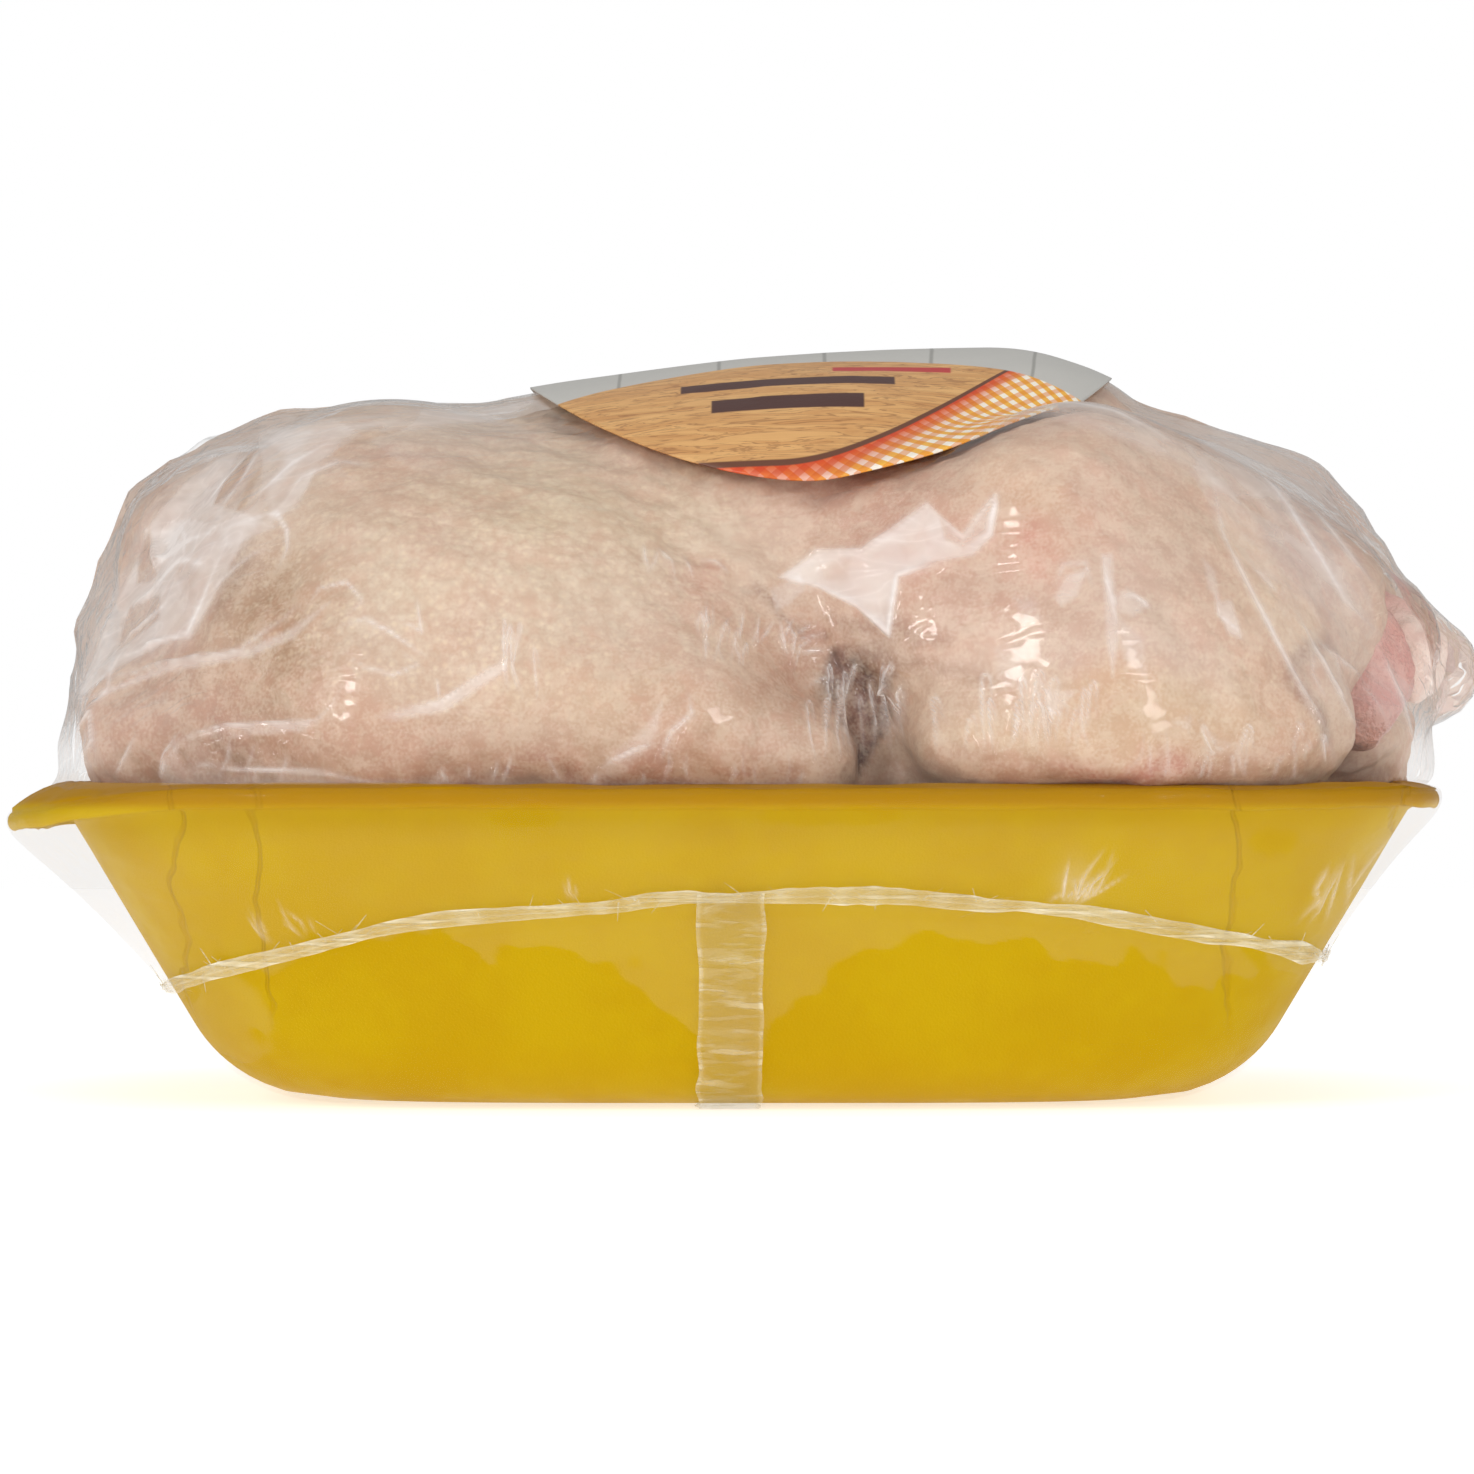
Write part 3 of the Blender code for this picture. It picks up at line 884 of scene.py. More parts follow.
FANS = (
    Fan((508, 700), (545, 712), (-0.06, -1.0), 4.0, (50, 80), 6, 0.0011, 0.0005, 11, 2.6),
    Fan((690, 640), (760, 650), (0.25, -1.0), 24.0, (20, 45), 10, 0.0008, 0.0006, 12),
    Fan((818, 765), (905, 750), (-0.06, -1.0), 3.0, (50, 95), 17, 0.0011, 0.0005, 13, 2.6),
    Fan((925, 758), (1090, 752), (0.10, -1.0), 9.0, (35, 80), 19, 0.0011, 0.0006, 14, 4.2),
    Fan((700, 668), (755, 672), (0.10, -1.0), 14.0, (20, 42), 6, 0.0010, 0.0005, 26, 2.4),
    Fan((1195, 765), (1330, 765), (0.10, -1.0), 16.0, (18, 40), 7, 0.0008, 0.0006, 27, 3.5),
    Fan((80, 780), (330, 785), (0.2, -1.0), 16.0, (20, 60), 8, 0.0006, 0.0009, 15),
    Fan((440, 784), (800, 785), (0.0, -1.0), 14.0, (15, 40), 16, 0.0004, 0.0006, 16),
    Fan((1110, 780), (1320, 780), (0.1, -1.0), 20.0, (20, 60), 12, 0.0006, 0.0007, 17),
    Fan((640, 540), (700, 560), (0.5, 1.0), 25.0, (20, 40), 6, 0.0006, 0.0007, 19),
    Fan((780, 640), (800, 690), (0.8, -0.6), 25.0, (30, 60), 9, 0.0007, 0.0006, 20),
    Fan((1230, 560), (1360, 680), (0.6, 0.8), 14.0, (40, 90), 6, 0.0006, 0.0010, 21),
    Fan((565, 905), (585, 905), (-0.1, -1.0), 8.0, (20, 35), 4, 0.0007, 0.0005, 22),
    Fan((265, 950), (330, 935), (-0.6, -1.0), 14.0, (20, 60), 8, 0.0007, 0.0005, 23),
    Fan((1036, 908), (1080, 910), (0.75, -1.0), 14.0, (30, 90), 12, 0.0010, 0.0006, 24),
    Fan((1330, 860), (1400, 830), (-0.3, 1.0), 12.0, (50, 110), 7, 0.0007, 0.0008, 25),
)
# Milky haze on the film, which here also stands for painted reflections: the silvery sheen at the left end
# and along the top edge.
HAZE_AND_GLARE_SPOTS = (
    Spot((125, 600), (75, 90), 0.45),
    Spot((185, 500), (100, 60), 0.65),
    Spot((75, 720), (25, 60), 0.45),
    Spot((300, 440), (120, 32), 0.55),
    Spot((470, 400), (150, 22), 0.45),
    Spot((1290, 520), (85, 95), 0.42),
    Spot((1180, 440), (120, 45), 0.40),
    Spot((1412, 740), (45, 55), -0.30),
    Spot((1060, 390), (150, 30), 0.50),
)
# Crisp film patches: the bright ones are painted reflections and highlights on facets and folds, with some
# milky haze; the negative ones are clearer wedges.
FILM_HAZE_AND_GLARE_PATCHES = (
    Patch(
        (
            (122, 519), (166, 464), (200, 443), (217, 435), (208, 473), (200, 498), (225, 506),
            (276, 525), (238, 538), (225, 565), (208, 599), (187, 638), (162, 638), (103, 670),
            (65, 700), (61, 683), (86, 616), (107, 565),
        ),
        0.36,
    ),
    Patch(
        (
            (50, 700), (60, 650), (80, 600), (100, 548), (118, 500), (150, 462), (190, 430), (230, 408),
            (300, 420), (280, 470), (246, 534), (224, 580), (204, 614), (184, 646), (92, 676),
        ),
        0.24, 0.0012,
    ),
    Patch(((124, 519), (145, 574), (115, 578), (114, 548)), -0.55),
    Patch(((147, 590), (109, 603), (103, 649), (149, 616)), -0.48),
    Patch(((160, 560), (196, 566), (178, 592)), -0.25, 0.0009),
    Patch(((237, 435), (225, 481), (200, 498), (208, 470)), -0.45),
    Patch(((250, 460), (238, 502), (225, 510), (238, 473)), -0.30),
    Patch(((146, 500), (176, 478), (170, 520), (150, 540)), 0.22, 0.0009),
    Patch(((118, 520), (140, 556), (170, 545), (150, 522)), 0.25),
    Patch(((75, 690), (98, 640), (84, 628), (66, 690)), 0.25, 0.0009),
    Patch(
        (
            (242, 426), (293, 418), (419, 409), (524, 386), (503, 405), (419, 418), (335, 430),
            (309, 464), (293, 506), (267, 519), (259, 485), (276, 447),
        ),
        0.36, 0.0009,
    ),
    Patch(
        (
            (245, 416), (335, 404), (440, 392), (530, 383), (505, 394), (420, 408), (340, 420),
            (270, 428),
        ),
        0.30, 0.0008,
    ),
    Patch(((259, 519), (309, 464), (300, 490), (268, 521)), 0.25),
    Patch(((340, 424), (372, 418), (366, 432), (346, 438)), -0.25, 0.0008),
    Patch(
        (
            (60, 704), (160, 664), (245, 650), (292, 630), (332, 603), (296, 640), (248, 658),
            (165, 672),
        ),
        0.50,
    ),
    Patch(
        (
            (179, 738), (187, 763), (242, 776), (419, 780), (410, 788), (166, 786), (172, 760),
        ),
        0.50, 0.0006,
    ),
    Patch(((225, 738), (260, 729), (318, 723), (312, 730), (250, 736)), 0.60),
    Patch(((188, 744), (204, 740), (222, 764), (204, 768)), 0.26, 0.0008),
    Patch(((74, 735), (92, 728), (120, 748), (146, 780), (84, 784)), 0.26, 0.0010),
    Patch(((382, 716), (446, 702), (510, 662), (508, 672), (450, 712), (400, 720)), 0.55),
    Patch(((591, 784), (612, 755), (646, 729), (663, 704), (659, 734), (629, 771)), 0.38, 0.0007),
    Patch(((430, 786), (446, 770), (462, 788)), 0.45),
    Patch(
        (
            (779, 577), (818, 552), (863, 552), (897, 528), (927, 503), (942, 518), (962, 537),
            (996, 503), (991, 537), (971, 557), (935, 562), (897, 577), (888, 636), (858, 607),
            (818, 587),
        ),
        0.80, 0.0006,
    ),
    Patch(((820, 566), (850, 560), (846, 578), (826, 580)), -0.30, 0.0008),
    Patch(((898, 545), (925, 524), (930, 545), (905, 560)), -0.16, 0.0008),
    Patch(((940, 520), (962, 540), (990, 508), (984, 532), (962, 550), (944, 540)), -0.40),
    Patch(((1050, 600), (1062, 578), (1084, 570), (1072, 598), (1056, 608)), 0.45),
    Patch(((1098, 557), (1108, 556), (1112, 640), (1106, 678), (1100, 640)), 0.42),
    Patch(((1106, 600), (1122, 590), (1142, 604), (1128, 618), (1114, 614)), 0.36),
    Patch(((1112, 618), (1136, 640), (1140, 680), (1118, 660)), 0.26, 0.0008),
    Patch(((1200, 560), (1212, 572), (1216, 604), (1204, 590)), 0.30),
    Patch(((1214, 604), (1228, 600), (1238, 640), (1222, 634)), 0.45),
    Patch(((992, 650), (1016, 646), (1022, 684), (998, 690)), 0.26, 0.0010),
    Patch(((1012, 600), (1030, 600), (1036, 620), (1018, 624)), 0.25, 0.0010),
    Patch(((1040, 690), (1072, 692), (1060, 702), (1044, 716)), 0.40),
    Patch(((1196, 728), (1214, 740), (1236, 744), (1216, 756), (1200, 748)), 0.36),
    Patch(((1166, 722), (1186, 716), (1182, 732)), 0.40),
    Patch(((770, 590), (800, 574), (806, 588), (790, 604), (776, 612)), 0.30),
    Patch(
        (
            (980, 400), (1060, 392), (1130, 410), (1196, 440), (1240, 500), (1196, 470), (1110, 432),
            (1040, 412),
        ),
        0.30, 0.0012,
    ),
    Patch(
        (
            (1188, 440), (1196, 462), (1213, 527), (1243, 592), (1282, 666), (1332, 770), (1426, 780),
            (1440, 700), (1390, 655), (1384, 600), (1360, 540), (1290, 480),
        ),
        0.15, 0.0007,
    ),
    Patch(((1225, 450), (1290, 486), (1350, 560), (1372, 610), (1330, 580), (1270, 510)), 0.18, 0.0012),
)
# Skin patches on the shown side: most are painted shade in the crevice, the creases and under folds; the pale
# ones are skin tone.
SKIN_TONE_AND_SHADE_PATCHES = (
    # painted shade: the dark crevice between wing and thigh
    Patch(
        (
            (826, 660), (848, 664), (863, 684), (898, 684), (896, 706), (873, 750), (853, 766),
            (841, 735), (829, 695),
        ),
        0.92, 0.0012, linear_colour(82, 46, 36),
    ),
    # painted shade: the valley below the flank
    Patch(
        (
            (815, 594), (863, 614), (917, 628), (957, 633), (912, 645), (848, 630), (820, 612),
        ),
        0.60, 0.0016, linear_colour(158, 116, 96),
    ),
    # painted shade along a crease
    Patch(
        (
            (756, 596), (800, 616), (830, 640), (828, 652), (794, 628), (752, 602),
        ),
        0.60, 0.0010, linear_colour(140, 96, 78),
    ),
    # painted shade below the thigh's edge fold
    Patch(
        (
            (860, 672), (930, 664), (1010, 676), (1000, 684), (930, 676), (870, 684),
        ),
        0.50, 0.0012, linear_colour(164, 122, 98),
    ),
    Patch(
        (
            (1308, 636), (1330, 640), (1336, 690), (1322, 750), (1306, 742), (1300, 690),
        ),
        0.60, 0.0016, linear_colour(150, 116, 102),
    ),
    Patch(
        (
            (1215, 500), (1262, 520), (1306, 600), (1310, 668), (1270, 640), (1236, 580),
        ),
        0.55, 0.0020, linear_colour(226, 190, 154),
    ),
    Patch(
        (
            (965, 448), (1010, 424), (1070, 446), (1082, 480), (1040, 474), (990, 476),
        ),
        0.35, 0.0020, linear_colour(232, 200, 172),
    ),
    Patch(((960, 452), (1006, 426), (1010, 430), (966, 458)), 0.40, 0.0008, linear_colour(186, 146, 126)),
    Patch(
        (
            (1078, 470), (1092, 500), (1084, 548), (1076, 520),
        ),
        0.40, 0.0012, linear_colour(192, 152, 132),
    ),
    # painted shade along the crease from the nub down to the crevice
    Patch(
        (
            (640, 600), (700, 580), (742, 606), (790, 690), (820, 770), (780, 700), (730, 640),
            (690, 610),
        ),
        0.30, 0.0016, linear_colour(196, 152, 128),
    ),
    # painted shade at the left edge of the breast
    Patch(((205, 640), (215, 545), (240, 540), (232, 640)), 0.45, 0.0014, linear_colour(150, 118, 96)),
    Patch(
        (
            (440, 775), (600, 766), (800, 772), (800, 786), (440, 786),
        ),
        0.40, 0.0012, linear_colour(176, 122, 104),
    ),
)
SKIRT_VEILS = (
    Spot((1072, 882), (16, 22), 0.4),
    Spot((120, 900), (60, 60), 0.10),
    Spot((1390, 850), (50, 50), 0.12),
)
TILT = np.array([[0.82, 0.57], [-0.57, 0.82]])
CLING_AND_RIM_SHADE_SPOTS = (
    Spot((450, 1010), (240, 85), 1.15),
    Spot((640, 1050), (90, 60), 0.8),
    Spot((1090, 1030), (270, 75), 1.15),
    Spot((930, 985), (110, 50), 0.9),
    # The two thin spots under the rim clear the film's haze there: cling, and painted shade of the rim on the
    # wall.
    Spot((520, 815), (45, 13), 1.0),
    Spot((830, 815), (75, 13), 1.0),
    Spot((1268, 842), (36, 18), 1.0),
    Spot((737, 1088), (430, 26), 1.0),
    Spot((690, 980), (60, 30), -0.5),
    Spot((720, 1010), (60, 80), -0.6),
)


class Paint:
    """A material being made: adds nodes and joins them."""

    def __init__(self, name: str) -> None:
        """Starts an empty material.

        Args:
            name: the finish's name.
        """
        self.material = bpy.data.materials.new(name)
        self.material.use_nodes = True
        self.tree = self.material.node_tree
        self.tree.nodes.clear()
        self.result = self.add("ShaderNodeOutputMaterial").inputs["Surface"]
        self.place = self.add("ShaderNodeTexCoord").outputs["Object"]

    def add(self, kind: str, **settings: object) -> bpy.types.Node:
        """Adds a node of a kind and sets its plain settings."""
        node = self.tree.nodes.new(kind)
        for name, value in settings.items():
            setattr(node, name, value)
        return node

    def feed(self, socket: bpy.types.NodeSocket, value: object) -> None:
        """Joins a socket to an output, or sets its value."""
        if isinstance(value, bpy.types.NodeSocket):
            self.tree.links.new(value, socket)
        elif isinstance(value, tuple) and len(value) == 3 and socket.type == "RGBA":
            socket.default_value = (*value, 1.0)
        else:
            socket.default_value = value

    def sum(self, operation: str, *values: object) -> bpy.types.NodeSocket:
        """The result of a Math node on one to three values."""
        node = self.add("ShaderNodeMath", operation=operation)
        for socket, value in zip(node.inputs, values):
            self.feed(socket, value)
        return node.outputs[0]

    def band(self, value: object, low: float, high: float, to: Mark = (0.0, 1.0)) -> bpy.types.NodeSocket:
        """A value moved from one range to another, smoothly, and held at its ends."""
        node = self.add("ShaderNodeMapRange", interpolation_type="SMOOTHSTEP")
        for socket, item in zip(node.inputs, (value, low, high, *to)):
            self.feed(socket, item)
        return node.outputs[0]

    def mix(self, share: object, first: object, second: object, mode: str = "MIX") -> bpy.types.NodeSocket:
        """Two colours mixed by a share."""
        node = self.add("ShaderNodeMix", data_type="RGBA", blend_type=mode)
        for name, value in (("Factor_Float", share), ("A_Color", first), ("B_Color", second)):
            self.feed(next(s for s in node.inputs if s.identifier == name), value)
        return next(s for s in node.outputs if s.identifier == "Result_Color")

    def noise(
        self, scale: float, detail: float = 2.0, vector: object = None, warp: float = 0.0
    ) -> bpy.types.NodeSocket:
        """A noise texture's value."""
        node = self.add("ShaderNodeTexNoise")
        self.feed(node.inputs["Vector"], self.place if vector is None else vector)
        for name, value in (("Scale", scale), ("Detail", detail), ("Distortion", warp)):
            self.feed(node.inputs[name], value)
        return node.outputs["Fac"]

    def cells(self, scale: float, vector: object = None) -> bpy.types.NodeSocket:
        """Distance to the nearest of many round cells."""
        node = self.add("ShaderNodeTexVoronoi", feature="F1")
        self.feed(node.inputs["Vector"], self.place if vector is None else vector)
        self.feed(node.inputs["Scale"], scale)
        return node.outputs["Distance"]

    def stretched(self, scale: Triple, turn: Triple = (0.0, 0.0, 0.0)) -> bpy.types.NodeSocket:
        """The place on the piece, turned and stretched."""
        node = self.add("ShaderNodeMapping")
        self.feed(node.inputs["Vector"], self.place)
        self.feed(node.inputs["Rotation"], turn)
        self.feed(node.inputs["Scale"], scale)
        return node.outputs[0]

    def value(self, name: str) -> bpy.types.NodeSocket:
        """A value that the piece's mesh carries."""
        return self.add("ShaderNodeAttribute", attribute_name=name).outputs["Fac"]

    def colour(self, name: str) -> bpy.types.NodeSocket:
        """A colour that the piece's mesh carries."""
        return self.add("ShaderNodeAttribute", attribute_name=name).outputs["Color"]

    def bump(
        self, height: object, distance: float, strength: float = 1.0, under: object = None
    ) -> bpy.types.NodeSocket:
        """A normal disturbed by a height in metres over a distance."""
        node = self.add("ShaderNodeBump")
        for name, value in (("Height", height), ("Distance", distance), ("Strength", strength)):
            self.feed(node.inputs[name], value)
        if under is not None:
            self.feed(node.inputs["Normal"], under)
        return node.outputs["Normal"]

    def group(self, tree: bpy.types.NodeTree, **values: object) -> bpy.types.Node:
        """A shared effect with its own values."""
        node = self.add("ShaderNodeGroup", node_tree=tree)
        for name, value in values.items():
            self.feed(node.inputs[name.replace("_", " ").capitalize()], value)
        return node

    def shader(self, **values: object) -> bpy.types.Node:
        """A Principled shader; names have underscores for spaces."""
        node = self.add("ShaderNodeBsdfPrincipled")
        for name, value in values.items():
            self.feed(node.inputs[name.replace("_", " ").title().replace("Ior", "IOR")], value)
        return node

    def blend_shaders(self, share: object, first: bpy.types.Node, second: bpy.types.Node) -> bpy.types.Node:
        """Two shaders mixed by a share."""
        node = self.add("ShaderNodeMixShader")
        self.feed(node.inputs[0], share)
        self.feed(node.inputs[1], first.outputs[0])
        self.feed(node.inputs[2], second.outputs[0])
        return node

    def let_through(self, film: bpy.types.Node, tint: Triple) -> bpy.types.Node:
        """Film as it looks, but a plain clear sheet to light on its way to or from what it covers."""
        passing = self.add("ShaderNodeBsdfTransparent")
        self.feed(passing.inputs[0], tint)
        path = self.add("ShaderNodeLightPath").outputs
        unseen = self.sum("MAXIMUM", path["Is Shadow Ray"], path["Is Diffuse Ray"])
        return self.blend_shaders(unseen, film, passing)

    def finish(self, shader: bpy.types.Node) -> bpy.types.Material:
        """Joins the shader to the output."""
        self.feed(self.result, shader.outputs[0])
        return self.material


class EffectTree(Paint):
    """A shared effect being made, as a node group."""

    def __init__(self, name: str, values: dict[str, float], results: Sequence[str]) -> None:
        """Starts a group with named inputs and outputs.

        Args:
            name: the effect's name.
            values: its inputs and their usual values.
            results: names of its outputs.
        """
        self.tree = bpy.data.node_groups.new(name, "ShaderNodeTree")
        for key, value in values.items():
            socket = self.tree.interface.new_socket(key, in_out="INPUT", socket_type="NodeSocketFloat")
            socket.default_value = value
        for key in results:
            self.tree.interface.new_socket(key, in_out="OUTPUT", socket_type="NodeSocketFloat")
        self.inputs = self.add("NodeGroupInput").outputs
        self.outputs = self.add("NodeGroupOutput").inputs
        self.place = self.add("ShaderNodeTexCoord").outputs["Object"]


def mottle_effect() -> bpy.types.NodeTree:
    """Cloudy patches at three sizes, for skin, flesh, foam and print."""
    effect = EffectTree("soft_mottle", {"Scale": 60.0, "Fine": 0.4}, ["Mask"])
    broad = effect.noise(1.0, 2.0)
    fine = effect.noise(1.0, 1.0)
    for output, factor in ((broad, 1.0), (fine, 6.0)):
        scale = effect.sum("MULTIPLY", effect.inputs["Scale"], factor)
        effect.feed(output.node.inputs["Scale"], scale)
    both = effect.sum("MULTIPLY_ADD", effect.sum("SUBTRACT", fine, 0.5), effect.inputs["Fine"], broad)
    effect.feed(effect.outputs["Mask"], both)
    return effect.tree


def crinkle_effect() -> bpy.types.NodeTree:
    """The fine crinkles of shrunk film, as a height of 0 to 1: ridges where two noises cross."""
    effect = EffectTree("film_crinkle", {"Scale": 180.0, "Sharpness": 2.0}, ["Height"])
    total: object = 0.0
    for factor, weight, turn in ((1.0, 0.62, 0.5), (2.7, 0.38, 1.7)):
        vector = effect.stretched((0.45, 1.0, 1.3), (0.0, turn, 0.0))
        noise = effect.noise(1.0, 0.0, vector, 0.8)
        effect.feed(noise.node.inputs["Scale"], effect.sum("MULTIPLY", effect.inputs["Scale"], factor))
        ridge = effect.sum("ABSOLUTE", effect.sum("SUBTRACT", noise, 0.5))
        ridge = effect.sum("SUBTRACT", 1.0, effect.sum("MULTIPLY", ridge, 3.0))
        ridge = effect.sum("POWER", effect.sum("MAXIMUM", ridge, 0.0), effect.inputs["Sharpness"])
        total = effect.sum("MULTIPLY_ADD", ridge, weight, total)
    effect.feed(effect.outputs["Height"], total)
    return effect.tree


@dataclass(frozen=True)
class SkinFinish:
    """Raw chicken skin: cream and pink, cloudy, pored and wet."""

    pore_scale: float = 560.0
    bump_depth: float = 0.00065
    roughness: float = 0.42

    def make(self, mottle: bpy.types.NodeTree) -> bpy.types.Material:
        """Makes the material."""
        paint = Paint("raw_skin")
        tint = paint.colour("tint")
        pores = paint.value("pores")
        clouds = paint.band(paint.group(mottle, scale=75.0, fine=0.5).outputs["Mask"], 0.42, 0.68)
        fine = paint.band(paint.group(mottle, scale=260.0, fine=0.8).outputs["Mask"], 0.30, 0.72)
        base = paint.mix(paint.sum("MULTIPLY", clouds, 0.26), tint, linear_colour(212, 160, 138))
        base = paint.mix(paint.sum("MULTIPLY", fine, 0.26), base, linear_colour(242, 228, 204))
        cell = paint.cells(self.pore_scale)
        dots = paint.sum("MULTIPLY", paint.band(cell, 0.45, 0.08), pores)
        base = paint.mix(paint.sum("MULTIPLY", dots, 0.35), base, linear_colour(243, 222, 190))
        pits = paint.sum("MULTIPLY", paint.band(cell, 0.45, 0.75), pores)
        base = paint.mix(paint.sum("MULTIPLY", pits, 0.20), base, linear_colour(196, 150, 118))
        normal = paint.bump(paint.noise(250.0, 1.5, warp=0.10), self.bump_depth)
        shader = paint.shader(
            base_color=base, roughness=self.roughness, normal=normal, specular_ior_level=0.45
        )
        return paint.finish(shader)


@dataclass(frozen=True)
class FilmFinish:
    """Clear shrink film: mirror-like at its folds, with a faint milky haze where it is slack, and a whitish
    layer that also holds painted reflections and highlights.
    """

    name: str
    crinkled: bool = True
    mirror: float = 1.0
    base_mirror: float = 0.034
    roughness: float = 0.08
    haze_and_glare_colour: Triple = (0.86, 0.79, 0.75)
    crinkle_depth: float = 0.00055
    crinkle_scale: float = 85.0

    def make(self, crinkle: bpy.types.NodeTree) -> bpy.types.Material:
        """Makes the material; light that only passes through meets a plain clear sheet."""
        paint = Paint(self.name)
        haze_and_glare = paint.value("haze_and_glare")
        if self.crinkled:
            height = paint.group(crinkle, scale=self.crinkle_scale, sharpness=2.0).outputs["Height"]
            relief = paint.sum("MULTIPLY", height, paint.value("slack"))
            normal = paint.bump(relief, self.crinkle_depth)
            haze_and_glare_share = paint.sum("MULTIPLY", haze_and_glare, paint.sum("MULTIPLY_ADD", height, 0.5, 0.75))
        else:
            normal = paint.add("ShaderNodeNewGeometry").outputs["Normal"]
            haze_and_glare_share = haze_and_glare
        fresnel = paint.add("ShaderNodeFresnel")
        paint.feed(fresnel.inputs["IOR"], 1.5)
        paint.feed(fresnel.inputs["Normal"], normal)
        share = paint.sum("SUBTRACT", fresnel.outputs[0], 0.04)
        share = paint.sum("MULTIPLY_ADD", paint.sum("MAXIMUM", share, 0.0), self.mirror, self.base_mirror)
        share = paint.sum("MULTIPLY", share, paint.value("shine"))
        clear = paint.add("ShaderNodeBsdfTransparent")
        paint.feed(clear.inputs[0], (0.985, 0.98, 0.975))
        gloss = paint.shader(
            base_color=(0.96, 0.95, 0.94), metallic=1.0, roughness=self.roughness, normal=normal
        )
        bright = paint.blend_shaders(paint.sum("MINIMUM", share, 1.0), clear, gloss)
        # This whitish layer shows the milky haze and also the painted reflections and highlights.
        haze_and_glare_layer = paint.shader(base_color=self.haze_and_glare_colour, roughness=0.6)
        film = paint.blend_shaders(paint.sum("MINIMUM", haze_and_glare_share, 0.9), bright, haze_and_glare_layer)
        return paint.finish(paint.let_through(film, (0.95, 0.945, 0.94)))


@dataclass(frozen=True)
class FoamFinish:
    """Yellow expanded foam sheet: satin, finely cellular, a little uneven in colour."""

    colour: Triple = (0.548, 0.356, 0.0008)
    deep: Triple = (0.522, 0.322, 0.0008)
    rim: Triple = (0.430, 0.215, 0.0010)

    def make(self, mottle: bpy.types.NodeTree) -> bpy.types.Material:
        """Makes the material."""
        paint = Paint("yellow_foam_sheet")
        clouds = paint.band(paint.group(mottle, scale=45.0, fine=0.3).outputs["Mask"], 0.3, 0.7)
        base = paint.mix(clouds, self.colour, self.deep)
        cell = paint.cells(2200.0)
        split = paint.add("ShaderNodeSeparateXYZ")
        paint.feed(split.inputs[0], paint.place)
        wave = paint.sum("MULTIPLY", paint.sum("SUBTRACT", paint.noise(70.0, 2.0), 0.5), 0.010)
        across = paint.sum("ADD", split.outputs["X"], wave)
        creases: object = 0.0
        for along in (-0.0995, -0.0845, 0.0880, 0.1190):
            away = paint.sum("ABSOLUTE", paint.sum("SUBTRACT", across, along))
            creases = paint.sum("MAXIMUM", creases, paint.band(away, 0.0007, 0.0001))
        on_wall = paint.band(split.outputs["Z"], 0.012, 0.022)
        creases = paint.sum("MULTIPLY", creases, on_wall)
        base = paint.mix(paint.sum("MULTIPLY", creases, 0.22), base, (0.36, 0.17, 0.01))
        base = paint.mix(paint.band(split.outputs["Z"], 0.0535, 0.0560), base, self.rim)
        height = paint.sum("SUBTRACT", paint.sum("MULTIPLY", cell, 0.10), creases)
        normal = paint.bump(height, 0.00025)
        rough = paint.band(clouds, 0.0, 1.0, (0.42, 0.55))
        shader = paint.shader(base_color=base, roughness=rough, normal=normal, specular_ior_level=0.05)
        return paint.finish(shader)


@dataclass(frozen=True)
class WeldFinish:
    """Film that is melted or doubled: whitish, creased and half clear."""

    name: str
    white: float
    streak: float
    ripple: Triple

    def make(self, crinkle: bpy.types.NodeTree) -> bpy.types.Material:
        """Makes the material."""
        paint = Paint(self.name)
        height = paint.group(crinkle, scale=420.0, sharpness=1.6).outputs["Height"]
        ripples = paint.noise(260.0, 2.0, paint.stretched(self.ripple))
        ridge = paint.band(ripples, 0.48, 0.62)
        normal = paint.bump(paint.sum("ADD", height, ridge), 0.0003)
        clear = paint.add("ShaderNodeBsdfTransparent")
        body = paint.shader(
            base_color=(0.90, 0.84, 0.66), roughness=0.30, normal=normal, specular_ior_level=0.35
        )
        dense = paint.sum("MULTIPLY", ridge, self.streak)
        edge = paint.value("dense")
        share = paint.sum("MULTIPLY", paint.sum("ADD", dense, self.white), edge)
        film = paint.blend_shaders(paint.sum("MINIMUM", share, 0.95), clear, body)
        return paint.finish(paint.let_through(film, (0.85, 0.84, 0.82)))


